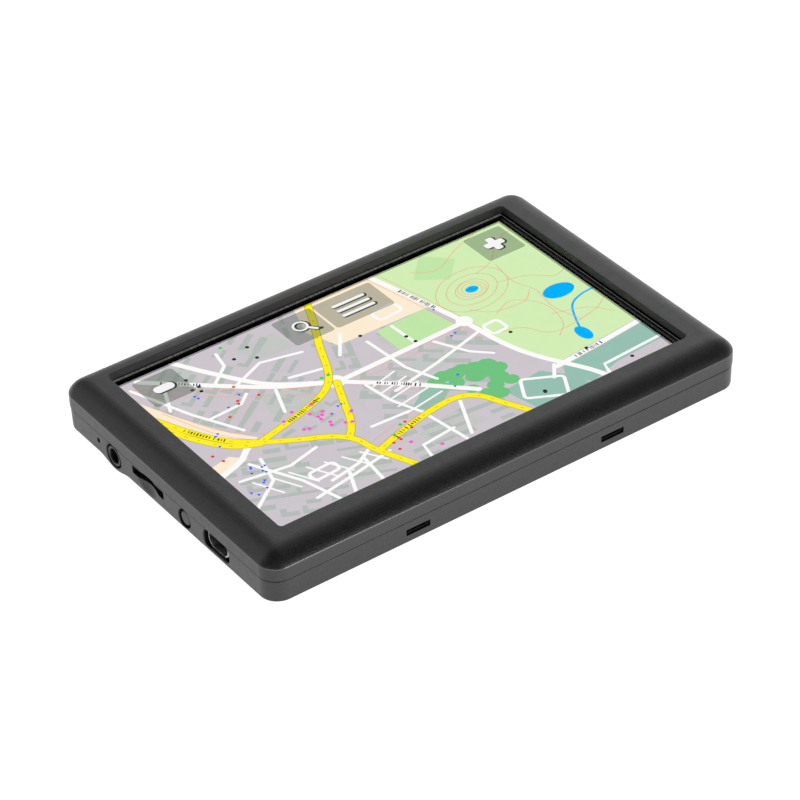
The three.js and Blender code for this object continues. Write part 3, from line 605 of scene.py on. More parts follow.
def rear_blank():
    """The rear housing before its openings are cut."""
    jack = middle_mm("jack_body")
    stops = [jack.y + JACK_SWELL_HALF * (1 - step / 12) for step in range(25)]
    tongue_out = SIDE_WALL + TONGUE_SETBACK
    tongue_in = tongue_out + TONGUE_T
    outside = fillet([
        (BACK_BORDER + 2, 0, 0),
        (BACK_BORDER, 0, 0.8),
        (REAR_INSET + REAR_DRAFT, BACK_RISE, 0.35),
        (REAR_INSET, REAR_TOP, PARTING_FILLET),
        (tongue_out, REAR_TOP, 0),
    ])
    inside = [
        (tongue_out, PART_Z + TONGUE_H),
        (tongue_in, PART_Z + TONGUE_H),
        (tongue_in, PART_Z - 1.1),
        (SIDE_WALL, PART_Z - 1.3),
        (SIDE_WALL, FLOOR + BACK_RISE * (1 - SIDE_WALL / BACK_BORDER)),
        (BACK_BORDER, FLOOR),
        (BACK_BORDER + 2, FLOOR),
    ]
    rings = [outer_ring(inset, z, stops) for inset, z in outside + inside]
    return swell(solid(rings))


def opening(outline, depth=WALL_REACH, mouth=MOUTH):
    """A cutter with a small chamfer at its mouth. Its face is at Z 0."""
    return prism(outline, [(mouth, -2.0), (mouth, 0.0), (0.0, mouth), (0.0, depth)])


def port_cutters():
    usb_w, usb_h, usb_corner = USB_POCKET
    card_w, card_h = CARD_SLOT
    ports = [
        ("jack_body", 0, MOUTH, lambda g: circle(JACK_HOLE_R + g)),
        ("power_button", 0, MOUTH, lambda g: circle(POWER_HOLE_R + g)),
        ("reset_switch_plunger", 0, RESET_MOUTH, lambda g: circle(RESET_HOLE_R + g, 24)),
        ("usb_shell", 0, MOUTH, lambda g: rounded(usb_w / 2 + g, usb_h / 2 + g, usb_corner + g)),
        ("card_socket_shell", CARD_RISE, CARD_MOUTH,
         lambda g: rounded(card_w / 2 + g, card_h / 2 + g, 0.25 + g, 4)),
    ]
    for node, rise, mouth, outline in ports:
        centre = middle_mm(node)
        place = into_left_wall(centre.y, centre.z - rise, LEFT_FACE)
        yield placed(opening(outline, mouth=mouth), place)
    card = middle_mm("card_socket_shell")
    yield scoop(card.y, card.z - CARD_RISE - card_h / 2)


def scoop(y, z):
    """A shallow dish in the wall under the card slot, for a thumb nail. It blends into the wall."""
    width, depth, drop = SCOOP
    rings = []
    for step in range(21):
        reach = 1 - 0.95 * step / 20
        sink = depth * (1 - reach ** 2) ** 2 - 0.01 if step else -1.0
        rings.append([(a * width / 2, b * drop, sink) for a, b in circle(reach)])
    return placed(solid(rings), into_left_wall(y, z + 0.3, LEFT_FACE))


def cradle_cutters():
    half_w, half_h = CRADLE_SLOT[0] / 2, CRADLE_SLOT[1] / 2
    for side, face in ((-1, REAR_LOW.y), (1, REAR_HIGH.y)):
        for end in (-1, 1):
            place = into_long_wall(CRADLE_X + end * CRADLE_SPACING / 2, CRADLE_Z, face, side)
            slot = prism(
                lambda g: rounded(half_w + g, half_h + g, max(0.2 + g, 0.05), 4),
                [(CRADLE_EDGE, -2.0), (CRADLE_EDGE, 0.0), (0.0, CRADLE_EDGE), (0.0, 0.8),
                 (-0.35, 0.8), (-0.35, 2.6)],
            )
            yield placed(slot, place)


def back_cutters():
    speaker = middle_mm("speaker_magnet")
    rows = int(GRILLE_R // GRILLE_PITCH) - 1
    for row in range(-rows, rows + 1):
        offset = row * GRILLE_PITCH
        half = math.sqrt(GRILLE_R ** 2 - offset ** 2)
        end = GRILLE_SLOT / 2
        slot = opening(lambda g: rounded(half + g, end + g, end + g - 0.001, 8), GRILLE_DEPTH)
        yield placed(slot, Matrix.Translation((speaker.x, speaker.y + offset, 0)))
    for number in range(1, 5):
        node = f"housing_screw_{number}"
        screw, seat = middle_mm(node), box_mm(node)[0].z + SCREW_SEAT
        profile = [
            (SCREW_HOLE_R + 0.4, -2), (SCREW_HOLE_R + 0.4, 0.4), (SCREW_HOLE_R, 0.9), (SCREW_HOLE_R, seat),
            (SCREW_BORE_R, seat), (SCREW_BORE_R, SCREW_BORE_TOP),
        ]
        yield placed(turned(profile), Matrix.Translation((screw.x, screw.y, 0)))
    width, depth, x, y, recess = LABEL
    plate = prism(
        lambda g: rounded(width / 2 + g, depth / 2 + g, 1.5 + g, 8),
        [(0.15, -1.0), (0.15, 0.0), (0.0, 0.15), (0.0, recess)],
    )
    yield placed(plate, Matrix.Translation((x, y, 0)))


def rear_shell():
    made = object_from(rear_blank(), "rear_housing")
    first = middle_mm("usb_shell").y - USB_POCKET[0] / 2 - TONGUE_PORT_GAP
    last = middle_mm("reset_switch_plunger").y + RESET_HOLE_R + TONGUE_PORT_GAP
    low = (LEFT_FACE + SIDE_WALL - 0.2, first, PART_Z - 1.5)
    combine(made, block(low, (LEFT_FACE + SIDE_WALL + 3, last, PART_Z + 3)))
    for cutter in [*port_cutters(), *cradle_cutters(), *back_cutters()]:
        combine(made, cutter)
    finished(made, LOOKS["housing"], replaces=["rear_shell"])


# ---- screen ----


def frame_faces(shape, outer, inner, z):
    """A flat ring between two rectangles."""
    band(shape, *[level(shape, corners(box), z) for box in (outer, inner)])


def grown(box, by):
    x0, y0, x1, y1 = box
    return (x0 - by, y0 - by, x1 + by, y1 + by)


def active_box():
    panel = middle_mm("lcd_panel")
    half_x, half_y = ACTIVE[0] / 2, ACTIVE[1] / 2
    y = panel.y + ACTIVE_UP
    return (panel.x - half_x, y - half_y, panel.x + half_x, y + half_y)


def touch_film():
    low, high = box_mm("touch_film")
    x0, y0, x1, y1 = active_box()
    outer = (low.x, low.y, high.x, high.y)
    inner = (x0 - CLEAR_MARGIN, y0 - CLEAR_MARGIN, x1, y1)
    shape = bmesh.new()
    for z in (low.z, high.z):
        frame_faces(shape, outer, inner, z)
        shape.faces.new(level(shape, corners(inner), z)).material_index = 1
    band(shape, *[level(shape, corners(outer), z) for z in (low.z, high.z)])
    bmesh.ops.remove_doubles(shape, verts=shape.verts, dist=1e-4)
    bmesh.ops.recalc_face_normals(shape, faces=shape.faces)
    made = object_from(shape, "film_with_border")
    finished(made, [LOOKS["touch_film"], CLEAR_FILM], replaces=["touch_film"])


def painted_edge_highlight():
    """Painted highlights at the film's edge: a thin pale line all round, and fine pale strokes along the back
    edge.
    """
    low, high = box_mm("window_gasket")
    z = box_mm("touch_film")[1].z + LAYER
    window = grown((low.x, low.y, high.x, high.y), -WINDOW_SETBACK)
    edge = grown(window, -EDGE_HIGHLIGHT_SETBACK)
    shape = bmesh.new()
    frame_faces(shape, edge, grown(edge, -EDGE_HIGHLIGHT_W), z)
    x0, y0, x1, y1 = window
    comb = (x0 + EDGE_HIGHLIGHT_SETBACK, y1 - COMB_W, x1 - EDGE_HIGHLIGHT_SETBACK, y1 - 0.05)
    shape.faces.new(level(shape, corners(comb), z + LAYER)).material_index = 1
    face_up(shape)
    made = object_from(shape, "film_painted_highlights")
    finished(made, [EDGE_HIGHLIGHT_LOOK, HIGHLIGHT_STROKES.material])


# ---- the lit picture: an invented town, in millimetres on the screen ----

MAP = {name: lit(f"map_{name}", srgb(*shades)) for name, shades in {
    "town": (206, 198, 205), "block": (180, 189, 184), "quarter": (197, 199, 197),
    "cream": (252, 236, 210), "park": (211, 239, 182), "lawn": (193, 232, 168),
    "wood": (112, 196, 128), "teal": (150, 192, 178), "water": (0, 176, 252),
    "street": (252, 252, 250), "road": (255, 240, 38), "road_line": (176, 166, 40),
    "path": (240, 158, 138), "label": (40, 44, 40), "blue": (40, 80, 250),
    "red": (240, 40, 40), "pink": (250, 90, 200), "green": (60, 210, 80),
}.items()}

MAIN_ROADS = [
    [(-54.5, 18), (-51, 10), (-46.5, 2.5), (-41, -2.6), (-34, -7), (-27, -11), (-23.5, -15), (-22, -21),
     (-18, -31)],
    [(-54.5, 13.5), (-51, 6), (-46.5, -0.2), (-41, -3.4)],
    [(-41, -3), (-33, -1), (-25, 1.2), (-18.5, 4), (-14, 9), (-9.5, 19), (-5, 28), (-2, 35)],
    [(-14.5, 5), (-17.5, -2), (-20, -8), (-22.6, -12), (-24.4, -13.6)],
    [(-21.5, -21.5), (-13, -18.8), (-4, -16.8), (3, -16.4), (7.5, -19), (10.5, -25), (13.5, -31)],
]
WIDE_STREETS = [
    [(-50, 33), (-38, 22), (-27, 12.5), (-17, 6.5)],
    [(-13, 4), (-3, -5), (5, -13), (9, -17)],
    [(-40, 34.5), (-34, 24), (-27, 14), (-16, 6)],
    [(-13, 5), (4, 5.4), (22, 6)],
    [(15.5, 34.5), (19, 20), (22, 7), (24, -6), (27, -15), (33, -26), (35, -31)],
    [(28, -21), (40, -20), (54, -18.5)],
    [(-54, -8), (-48, -6), (-43, -2)],
]
NARROW_STREETS = [
    [(-53, 31), (-47, 15), (-41, 3)], [(-45, 11), (-36, 11.5), (-33, 14)],
    [(-33, 18), (-24, 22), (-14, 19.5)],
    [(-10, 0), (-9, -8), (-6, -16), (-4, -30)], [(0, 13.5), (1, 0), (4, -8)], [(-6, -6), (8, -3), (23, 1)],
    [(8, 15), (8.5, 6)], [(-47, -8), (-41, -20), (-38, -31)], [(-52, -12), (-40, -14), (-32, -12)],
    [(-42, -27), (-30, -25), (-20, -23)], [(-54, -22), (-46, -16), (-44, -8)], [(-18, -13.5), (-8, -14)],
    [(-14, -31), (-13, -26), (-4, -25)], [(36, -30), (37, -27), (54, -26)], [(28, -20), (25, -24)],
    [(-36, -24), (-28, -22.5), (-22, -19)], [(-34.5, -31), (-31, -23)], [(-27, -31), (-26, -22)],
    [(-30, 3), (-27, 11)], [(-37, 21), (-31, 26), (-30, 31)], [(-22, 13), (-13, 11)], [(-50, 19), (-47, 26)],
    [(-2, -29), (3, -18)], [(-8, 13), (-3, 20)], [(12, 4), (16, -4), (20, -8)],
]
CRESCENTS = [(26.5, 0, 2.2, 2.1, 0.05), (21, -25.5, 5.0, 3.6, -0.5), (-35.5, -20.2, 3.4, 1.5, 0.06),
             (10.5, 20.5, 3.4, 1.8, 0.1)]  # x, y, half width, half depth, turn
SIDE_PATHS = [
    WIDE_STREETS[0], WIDE_STREETS[1],
    [(-12, 3.2), (4, 3.6), (22, 4.2)], [(-21, -19), (-13, -16.8), (-4, -14.8), (3, -14.4)],
]
POND = (31.5, 15.5)  # in the middle of the park's round walks
PARK_WALKS = [
    [(24, 30), (30, 27), (38, 31), (46, 34)], [(36, 20), (42, 22), (48, 28), (54, 30)],
    [(38, 14), (45, 12), (50, 8), (54, 9)], [(30, 4), (36, 6), (41, 0), (40, -8), (36, -12)],
    [(42, 20), (41, 12), (43, 6), (42, -2), (44, -10)], [(24, -2), (31, -4), (36, -10), (48, -9), (54, -6)],
    [(40, -4), (48, -7), (52, -12)], [(26, 9), (30, 5), (38, 4), (42, 7)],
]
TREE_CLUMPS = [
    (3, -9, 1.5), (5.5, -8.2, 1.7), (8, -9, 1.9), (10.5, -8.6, 1.6), (13, -10, 1.9), (16, -10.6, 1.8),
    (17.5, -13, 1.6), (14.5, -13, 1.5), (15.5, -16, 1.7), (17, -18.5, 1.4), (13, -18, 1.5), (12, -21, 1.6),
    (9.5, -19, 1.2), (8, -16, 1.2), (6.5, -12, 1.4), (3.5, -11.5, 1.1), (11.5, -12.5, 1.8),
]  # x, y, radius
QUARTERS = [
    [(-50, 33), (-37, 32), (-39, 24), (-46, 28)], [(-31, 12), (-20, 7), (-22, -2), (-33, 4)],
    [(-49, -12), (-41, -10), (-36, -18), (-45, -24)], [(-3, 0), (12, 2), (14, -4), (2, -6)],
    [(-12, -22), (0, -20), (4, -27), (-10, -28)], [(-32, -19), (-25, -18), (-23, -27), (-32, -28)],
    [(-26, 30), (-15, 30), (-14, 22), (-24, 23)], [(2, 13), (13, 13.5), (13, 8), (3, 7)],
]
HOUSE_AREAS = [
    ([(-54, 34), (-16, 34), (-17, 7), (-40, -1), (-54, 12)], 0.62, 4.4),
    ([(-14, 34), (16, 34), (18, 8), (-12, 8)], 1.2, 4.0),
    ([(-54, -6), (-40, -6), (-24, -14), (-22, -31), (-54, -31)], -0.42, 4.2),
    ([(-36, -3), (-18, 2), (-23, -11)], 0.2, 3.6),
    ([(-12, 3), (20, 3), (24, -14), (10, -16), (-18, -16)], -0.7, 4.6),
    ([(-18, -20), (8, -19), (12, -31), (-18, -31)], -0.1, 4.0),
]  # outline, turn, pitch


def smooth_line(points, steps=8):
    """A Catmull-Rom line through the points."""
    ends = [Vector(points[0]) * 2 - Vector(points[1]), Vector(points[-1]) * 2 - Vector(points[-2])]
    knots = [ends[0], *map(Vector, points), ends[1]]
    line = []
    for a, b, c, d in zip(knots, knots[1:], knots[2:], knots[3:]):
        for step in range(steps):
            t = step / steps
            line.append(0.5 * (2 * b + (c - a) * t + (2 * a - 5 * b + 4 * c - d) * t * t
                               + (3 * b - a - 3 * c + d) * t ** 3))
    return line + [knots[-2]]


def ribbon(points, width, curved=True):
    """A strip of even width along a line, with round ends, as outlines to fill."""
    line = smooth_line(points) if curved else [Vector(point) for point in points]
    left, right = [], []
    for i, point in enumerate(line):
        along = (line[min(i + 1, len(line) - 1)] - line[max(i - 1, 0)]).normalized()
        across = Vector((-along.y, along.x)) * width / 2
        left.append(point + across)
        right.append(point - across)
    return strip_quads(left, right) + [disc(line[0], width / 2), disc(line[-1], width / 2)]


def strip_quads(left, right):
    pairs = list(zip(left, right))
    return [[a, b, d, c] for (a, b), (c, d) in zip(pairs, pairs[1:])]


def disc(centre, radius, steps=16, squash=1.0):
    return [Vector((centre[0] + x, centre[1] + y * squash)) for x, y in circle(radius, steps)]


def moved(outline, by):
    return [Vector(by) + Vector(point) for point in outline]


def loop_path(centre, half_x, half_y, width, turn=0.0):
    spin = Matrix.Rotation(turn, 2)
    points = moved([spin @ Vector((half_x * x, half_y * y)) for x, y in circle(1, 36)], centre)
    return ribbon(points + points[:1], width, curved=False)


def inside_polygon(point, polygon):
    hit = False
    for (x0, y0), (x1, y1) in zip(polygon, polygon[1:] + polygon[:1]):
        if (y0 > point[1]) != (y1 > point[1]) and point[0] < (x1 - x0) * (point[1] - y0) / (y1 - y0) + x0:
            hit = not hit
    return hit


def town_blocks(area, turn, pitch, seed):
    """Bars of houses in rows across an area, some of them missing, as L shapes and plain bars."""
    pick = random.Random(seed)
    spin = Matrix.Rotation(turn, 2)
    shapes = []
    for row in range(-16, 17):
        for column in range(-12, 13):
            length = pitch * pick.uniform(0.7, 1.5)
            depth = pitch * pick.uniform(0.22, 0.42)
            kind = pick.random()
            centre = spin @ Vector((column * pitch * 1.35, row * pitch * 0.78))
            bar = corners((-length / 2, -depth / 2, length / 2, depth / 2))
            wing = corners((-length / 2, -depth / 2, -length / 2 + depth, pitch * 0.5))
            if kind < 0.25 or not inside_polygon(centre, area):
                continue
            for outline in [bar, wing] if kind > 0.7 else [bar]:
                shapes.append([centre + spin @ Vector(point) for point in outline])
    return shapes


def picture_layer(name, layer, look, polygons):
    """Lays flat shapes on the display and trims them to its lit area."""
    x0, y0, x1, y1 = active_box()
    base = box_mm("lcd_panel")[1].z
    shape = bmesh.new()
    for polygon in polygons:
        shape.faces.new(level(shape, polygon, base + LAYER * layer))
    bmesh.ops.triangulate(shape, faces=shape.faces)
    for point, out in (((x0, 0), (-1, 0)), ((x1, 0), (1, 0)), ((0, y0), (0, -1)), ((0, y1), (0, 1))):
        bmesh.ops.bisect_plane(
            shape, geom=shape.verts[:] + shape.edges[:] + shape.faces[:],
            plane_co=(*point, 0), plane_no=(*out, 0), clear_outer=True,
        )
    face_up(shape)
    made = object_from(shape, name)
    finished(made, look)


def picture():
    map_town()
    map_green()
    map_paths()
    map_streets()
    map_roads()
    map_marks()
    x0, y0, x1, y1 = active_box()
    shade = [corners((x1 - SHADE_W, y0, x1, y1)), corners((x0, y1 - SHADE_W, x1 - SHADE_W, y1))]
    picture_layer("map_shade", 14, SHADE, shade)


def map_town():
    picture_layer("map_ground", 1, MAP["town"], [corners(active_box())])
    blocks = []
    for number, (area, turn, pitch) in enumerate(HOUSE_AREAS):
        blocks += town_blocks(area, turn, pitch, number + 3)
    picture_layer("map_quarters", 1.5, MAP["quarter"], QUARTERS)
    picture_layer("map_blocks", 2, MAP["block"], blocks)
    cream = [
        [(-6, 34.5), (16, 34.5), (18, 22), (19, 16), (-6, 16.5), (-9, 25)],
        [(-54, 26), (-50, 16), (-44, 4), (-40, -1), (-44, -4), (-50, 4), (-54, 10)],
        [(-54, -4), (-49, -3), (-46, -6), (-54, -9)],
    ]
    picture_layer("map_squares", 3, MAP["cream"], cream)


def map_green():
    park = [[(15.5, 34.5), (54.5, 34.5), (54.5, -17.5), (29.5, -20), (27, -15), (24, -6), (22, 7), (19, 20)]]
    picture_layer("map_park", 3, MAP["park"], park)
    lawn = [[(4, 15.5), (18, 16), (20, 6.5), (4, 6)], [(30, 34.5), (36, 28), (30, 22), (23, 27)]]
    picture_layer("map_lawns", 4, MAP["lawn"], lawn)
    teal = [
        [(29, -22), (54, -19.5), (54, -27), (40, -28), (31, -30.5), (27, -26)],
        [(13, -21), (24, -20), (29, -26), (30, -30.5), (15, -30.5)],
        [(-8, -14), (0, -9), (4, -13), (-2, -17)],
    ]
    picture_layer("map_gardens", 4, MAP["teal"], teal)
    wood = [disc((x, y), 1.45 * reach, 9, 0.9) for x, y, reach in TREE_CLUMPS]
    picture_layer("map_wood", 5, MAP["wood"], wood)
    lakes = [disc((47, 2.5), 4.2, 32, 0.64), disc((41, -14.5), 1.7, 24, 1.7), disc(POND, 1.7, 24, 0.72)]
    lakes += ribbon([(54.5, -1.5), (50, -2), (46, -4), (43, -9), (41, -14)], 0.55)
    picture_layer("map_water", 5, MAP["water"], lakes)


def map_paths():
    paths = []
    for reach in (1.0, 1.55, 2.2):
        paths += loop_path(POND, 4.6 * reach, 3.4 * reach, 0.16, 0.3)
    for reach in (0.55, 0.75):
        paths += loop_path(POND, 4.6 * reach, 4.2 * reach, 0.14)
    for walk in PARK_WALKS:
        paths += ribbon(walk, 0.16)
    for side in (-0.95, 0.95):
        for line in SIDE_PATHS:
            paths += ribbon([(x, y + side) for x, y in line], 0.12)
    for offset in (-1.5, 1.5):
        paths += ribbon([(-53, 30 + offset), (-38, 18 + offset), (-20, 5 + offset)], 0.14)
        paths += ribbon([(-52, 21 + offset), (-46, 6 + offset), (-38, -3 + offset)], 0.14)
        paths += ribbon([(16 + offset, 34), (20 + offset, 15), (23 + offset, -2)], 0.14)
        paths += ribbon([(-13, 4 + offset), (-4, -5 + offset), (4, -12 + offset)], 0.14)
    picture_layer("map_paths", 6, MAP["path"], paths)


def map_streets():
    streets = []
    for line in WIDE_STREETS:
        streets += ribbon(line, 1.5)
    for line in NARROW_STREETS:
        streets += ribbon(line, 0.85, curved=False)
    for number in range(7):
        x = -50 + 4.1 * number
        streets += ribbon([(x, -14 - number * 0.9), (x + 3.4, -21 - number * 0.7)], 0.5, curved=False)
    for number in range(5):
        y = 1.5 - 3.2 * number
        streets += ribbon([(-9, y - 3), (-2 + number, y - 1.2)], 0.5, curved=False)
    streets += [disc((22.3, 6.2), 2.0, 24), disc((-14.6, 5.4), 2.4, 24)]
    for x, y, half_x, half_y, turn in CRESCENTS:
        spin = Matrix.Rotation(turn, 2)
        line = moved([spin @ Vector(point) for point in rounded(half_x, half_y, 1.0, 4)], (x, y))
        streets += ribbon(line + line[:1], 0.85, curved=False)
    picture_layer("map_streets", 7, MAP["street"], streets)


def map_roads():
    kerbs, roads = [], []
    for line in MAIN_ROADS:
        kerbs += ribbon(line, 1.95)
        roads += ribbon(line, 1.65)
    picture_layer("map_kerbs", 8, MAP["road_line"], kerbs)
    picture_layer("map_roads", 9, MAP["road"], roads)
    lanes = [quad for line in MAIN_ROADS for quad in dashes(line, 0.16, 0.8, 3.6)]
    picture_layer("map_road_lines", 10, MAP["road_line"], lanes)
    named = [WIDE_STREETS[i] for i in (0, 1, 4, 5)] + [MAIN_ROADS[i] for i in (0, 2, 4)]
    names = []
    for number, line in enumerate(named):
        names += greeked(line, 6 + 2 * (number % 3), 9 + number % 3, number)
    picture_layer("map_greeked_names", 11, MAP["label"], names)


def stroke(middle, half, across):
    return [middle - half - across, middle + half - across, middle + half + across, middle - half + across]


def dashes(points, width, length, pitch):
    """Short strokes along a line."""
    line = smooth_line(points, 10)
    quads, travelled, due = [], 0.0, pitch / 2
    for a, b in zip(line, line[1:]):
        step = (b - a).length
        travelled += step
        if travelled >= due and step > 0:
            along = (b - a) / step
            across = Vector((-along.y, along.x)) * width / 2
            half = along * length / 2
            quads.append(stroke(a, half, across))
            due += pitch
    return quads


def greeked(points, start, length, seed):
    """Fine upright strokes along a line, where a map carries a name. They spell nothing."""
    pick = random.Random(seed)
    line = smooth_line(points, 24)
    quads, travelled, due = [], 0.0, start
    for a, b in zip(line, line[1:]):
        step = (b - a).length
        travelled += step
        if due <= travelled < start + length and step > 0:
            along = (b - a) / step
            across = Vector((-along.y, along.x)) * pick.uniform(0.36, 0.6)
            half = along * pick.uniform(0.09, 0.19)
            quads.append(stroke(a, half, across))
            due = travelled + pick.choice((0.42, 0.48, 0.55, 0.95))
    return quads


def map_marks():
    """Small coloured marks for places: x, y, how far they scatter, and how many."""
    pick = random.Random(21)
    groups = {
        "blue": [(-46, -10.5, 2.4, 7), (-50, -16, 2.5, 5), (-39, 16, 5, 4), (-46, 5, 4, 3), (12, 8, 8, 3),
                 (-20, -4, 3, 4), (6, -12, 3, 2)],
        "red": [(-36, 13, 5, 5), (-16, -22, 3, 4), (-10, -20, 4, 2), (-50, -2, 2, 2)],
        "pink": [(-28, -3, 5, 12), (-20, -8, 2, 3), (-12, -28, 5, 2)],
        "green": [(-28, 31, 3, 1), (-14, -18, 2, 2), (-16, 8, 2, 2)],
        "label": [(-42, 24, 3, 4), (-24, 26, 4, 3), (-4, 20, 5, 2), (12, 10, 4, 2), (42, -24, 6, 2),
                  (20, -26, 2, 2), (30, -2, 3, 1)],
    }
    sides = {"blue": 3, "red": 4}
    for name, places in groups.items():
        marks = []
        for x, y, reach, count in places:
            for _ in range(count):
                centre = (x + pick.uniform(-reach, reach), y + pick.uniform(-reach, reach))
                marks.append(disc(centre, MARK_R, sides.get(name, 10)))
        picture_layer(f"map_marks_{name}", 12, MAP[name], marks)


def screen_buttons():
    plate = lit("button_plate", srgb(66, 92, 74), 0.52)
    icon = lit("button_icon", srgb(246, 244, 246))
    edge = lit("button_icon_edge", srgb(52, 60, 54))
    y = active_box()[3] - BUTTON_DROP
    places = [(-46.3, 5.4), (-8.2, 5.4), (6.0, 8.2), (47.2, 5.4)]
    plates = [moved(rounded(half, BUTTON_HALF_H, 0.8, 4), (x, y)) for x, half in places]
    picture_layer("button_plates", 12.6, plate, plates)
    minus, lens, menu, plus = [x for x, half in places]
    pills = [(minus, 0, 2.6, 1.3, 1.2), (plus, 0, 2.7, 1.0, 0.6), (plus, 0, 1.0, 2.7, 0.6)]
    pills += [(menu, rise, 4.6, 0.5, 0.45) for rise in (2.2, 0, -2.2)]
    icons = (("button_icon_edges", ICON_EDGE, ICON_DROP, edge, 13.0), ("button_icons", 0.0, 0.0, icon, 13.5))
    for name, grow, drop, look, layer in icons:
        polygons = []
        for x, rise, half_x, half_y, corner in pills:
            outline = rounded(half_x + grow, half_y + grow, corner + grow, 6)
            polygons.append(moved(outline, (x + drop, y + rise - drop)))
        polygons += loop_path((lens - 0.4 + drop, y + 0.6 - drop), 1.7, 1.7, 0.6 + 2 * grow)
        handle = [(lens + 0.8 + drop, y - 0.7 - drop), (lens + 2.3 + drop, y - 2.4 - drop)]
        polygons += ribbon(handle, 0.8 + 2 * grow, curved=False)
        picture_layer(name, layer, look, polygons)


# ---- ports and buttons ----


def power_button():
    low, high = box_mm("power_button")
    length = high.x - low.x
    cap = [(1.0, 0.05), (0.35, 0.0), (0.12, 0.05), (0.0, 0.2)]
    cap = [(POWER_CAP_R - inset, CAP_RECESS + depth) for inset, depth in cap] + [(POWER_CAP_R, length - 0.6)]
    made = object_from(placed(turned(cap), front_of("power_button")), "power_cap")
    flange = block((high.x - POWER_FLANGE_T, low.y, low.z), high)
    combine(made, flange, "UNION")
    finished(made, LOOKS["housing"], "power_key", ["power_button"])


def jack():
    low, high = box_mm("jack_body")
    place = front_of("jack_body")
    profile = fillet([
        (JACK_BORE_R, 9.0, 0), (JACK_BORE_R, 0.0, 0.35), (JACK_NOZZLE_R, 0.0, 0.25),
        (JACK_NOZZLE_R, JACK_NOZZLE_L, 0),
    ])
    made = object_from(placed(turned(profile, closed=True), place), "audio_jack")
    combine(made, block((low.x + JACK_BODY_SETBACK, low.y, low.z), high), "UNION")
    bore = turned([(JACK_BORE_R, -1), (JACK_BORE_R, high.x - low.x - JACK_END_WALL)])
    combine(made, placed(bore, place))
    finished(made, LOOKS["black_plastic"], replaces=["jack_body"])


def usb_socket():
    """The mini-USB shell: a thin sheet with its two lower corners cut off."""
    low, high = box_mm("usb_shell")
    half_w, half_h, length = (high.y - low.y) / 2, (high.z - low.z) / 2, high.x - low.x

    def outline(grow):
        w, h = half_w + grow, half_h + grow
        left = [(-w, h), (-w, USB_CHAMFER - h), (USB_CHAMFER - w, -h)]
        turns = left + [(-x, y) for x, y in reversed(left)]
        return fillet([(0, h, 0)] + [(x, y, USB_ROUND + grow) for x, y in turns] + [(0, h, 0)])[:-1]

    skin = [(-0.1, 0.0), (-0.02, 0.06), (0.0, 0.15), (0.0, length)]
    place = front_of("usb_shell")
    made = object_from(placed(prism(outline, skin), place), "usb_socket_shell")
    combine(made, placed(prism(outline, [(-USB_SHEET, -1.0), (-USB_SHEET, length - USB_SHEET)]), place))
    frame["nodes"]["usb_tongue"].data.materials[0] = TONGUE_LOOK
    finished(made, LOOKS["steel"], replaces=["usb_shell"])


def screw(number):
    """A thread-forming screw with a cross recess, its head downwards."""
    node = f"housing_screw_{number}"
    low, high = box_mm(node)
    radius, length = (high.x - low.x) / 2, high.z - low.z
    profile = [(radius - 0.5, 0.0), (radius - 0.15, 0.08), (radius, 0.4), (radius, SCREW_HEAD_H)]
    turns = int((length - SCREW_HEAD_H - 0.8) / SCREW_PITCH)
    for turn in range(turns):
        z = SCREW_HEAD_H + SCREW_PITCH * turn
        profile += [(SCREW_R - SCREW_THREAD, z + 0.02), (SCREW_R, z + 0.25)]
    profile += [(SCREW_R - SCREW_THREAD, length - 0.7), (0.25, length)]
    place = Matrix.Translation(((low.x + high.x) / 2, (low.y + high.y) / 2, low.z))
    made = object_from(placed(turned(profile, 32), place), f"cross_screw_{number}")
    arm, width, depth = SCREW_CROSS
    for half_x, half_y in ((arm, width), (width, arm)):
        combine(made, placed(block((-half_x, -half_y, -1), (half_x, half_y, depth)), place))
    finished(made, LOOKS["steel"], replaces=[node])


# ---- stage ----


def light(name, place, size, radiance):
    """A soft box that shines towards the object."""
    data = bpy.data.lights.new(name, "AREA")
    data.shape = "RECTANGLE"
    data.size, data.size_y = size
    data.energy = radiance * math.pi * size[0] * size[1]
    lamp = shown(name, data)
    lamp.location = place
    lamp.rotation_euler = (LIGHT_AIM - Vector(place)).to_track_quat("-Z", "Y").to_euler()
    lamp.visible_camera = False


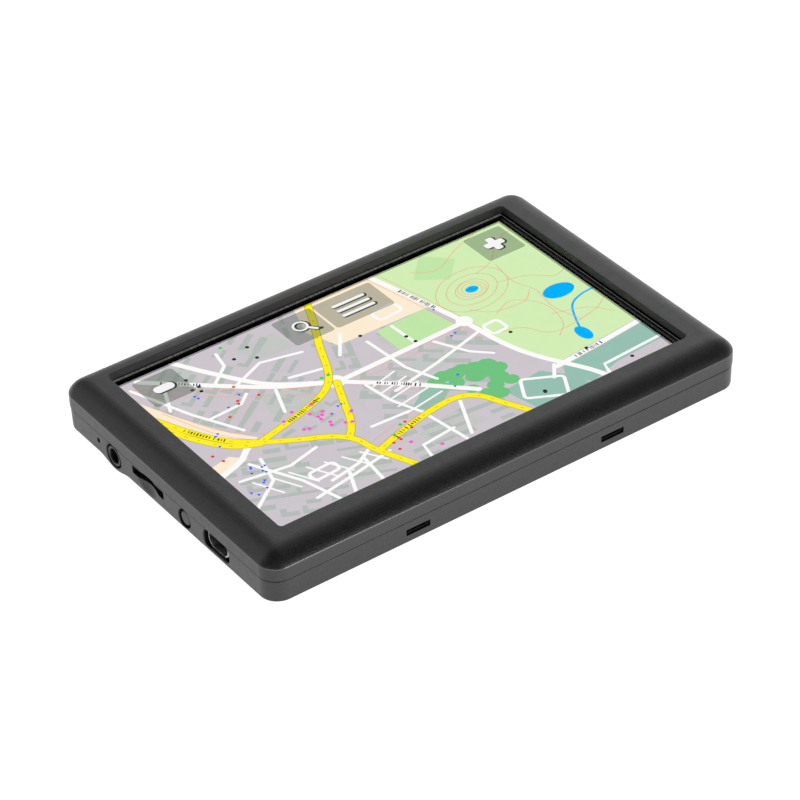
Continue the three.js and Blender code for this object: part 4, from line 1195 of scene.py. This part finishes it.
def studio():
    """A dark room with a broad soft light behind the object, a paler horizon, a low strip and a side box."""
    scene = bpy.context.scene
    scene.view_settings.view_transform = "Standard"
    world = bpy.data.worlds.new("studio")
    scene.world = world
    world.use_nodes = True
    sky = Graph(world.node_tree, "Generated")
    height = sky.node("ShaderNodeSeparateXYZ", {"Vector": sky.place}).outputs["Z"]
    inputs = {0: sky.place, 1: direction(LIGHT_AZIMUTH, LIGHT_ELEVATION)}
    towards = sky.node("ShaderNodeVectorMath", inputs, operation="DOT_PRODUCT").outputs["Value"]
    inputs = {"Factor": 1.0, "A": sky.ramp(height, HORIZON), "B": sky.ramp(towards, BACK_LIGHT)}
    total = sky.node("ShaderNodeMix", inputs, data_type="RGBA", blend_type="ADD")
    sky.feed(sky.tree.nodes["Background"], {"Color": total.outputs["Result"]})

    light("front_strip", (0.1, -0.6, 0.05), (0.26, 0.1), 11.0)
    light("left_box", (-0.62, 0.6, 0.5), (0.8, 0.8), 0.75)


def pale_floor():
    slab = block((-FLOOR_HALF, -FLOOR_HALF, -FLOOR_T), (FLOOR_HALF, FLOOR_HALF, 0))
    floor = object_from(slab, "floor")
    floor.data.transform(Matrix.Scale(MM, 4))
    look = Look("pale_floor", (0.55, 0.55, 0.55), 0.8)
    look.colours(look.noise(40.0), (0.54, 0.54, 0.54), (0.56, 0.56, 0.56))
    along = look.node("ShaderNodeSeparateXYZ", {"Vector": look.place}).outputs["Y"]
    look.shade({"Emission Color": (1, 1, 1, 1), "Emission Strength": look.spread(along, *FLOOR_GLOW)})
    floor.data.materials.append(look.material)


def camera():
    """The camera that was solved from the photo's straight edges."""
    ahead = direction(CAMERA_AZIMUTH, -CAMERA_ELEVATION)
    azimuth = math.radians(CAMERA_AZIMUTH)
    sideways = Vector((math.cos(azimuth), -math.sin(azimuth), 0))
    right = Matrix.Rotation(math.radians(-CAMERA_ROLL), 3, ahead) @ sideways
    up = right.cross(ahead)
    data = bpy.data.cameras.new("camera")
    data.lens = CAMERA_LENS
    data.sensor_width = CAMERA_SENSOR
    data.clip_start = 0.01
    made = shown("camera", data)
    rotation = Matrix((right, up, -ahead)).transposed().to_4x4()
    made.matrix_world = Matrix.Translation(CAMERA_PLACE) @ rotation
    bpy.context.scene.camera = made


camera()
studio()
pale_floor()
dress_cad_nodes()
front_shell()
rear_shell()
touch_film()
painted_edge_highlight()
picture()
screen_buttons()
power_button()
jack()
usb_socket()
for number in range(1, 5):
    screw(number)
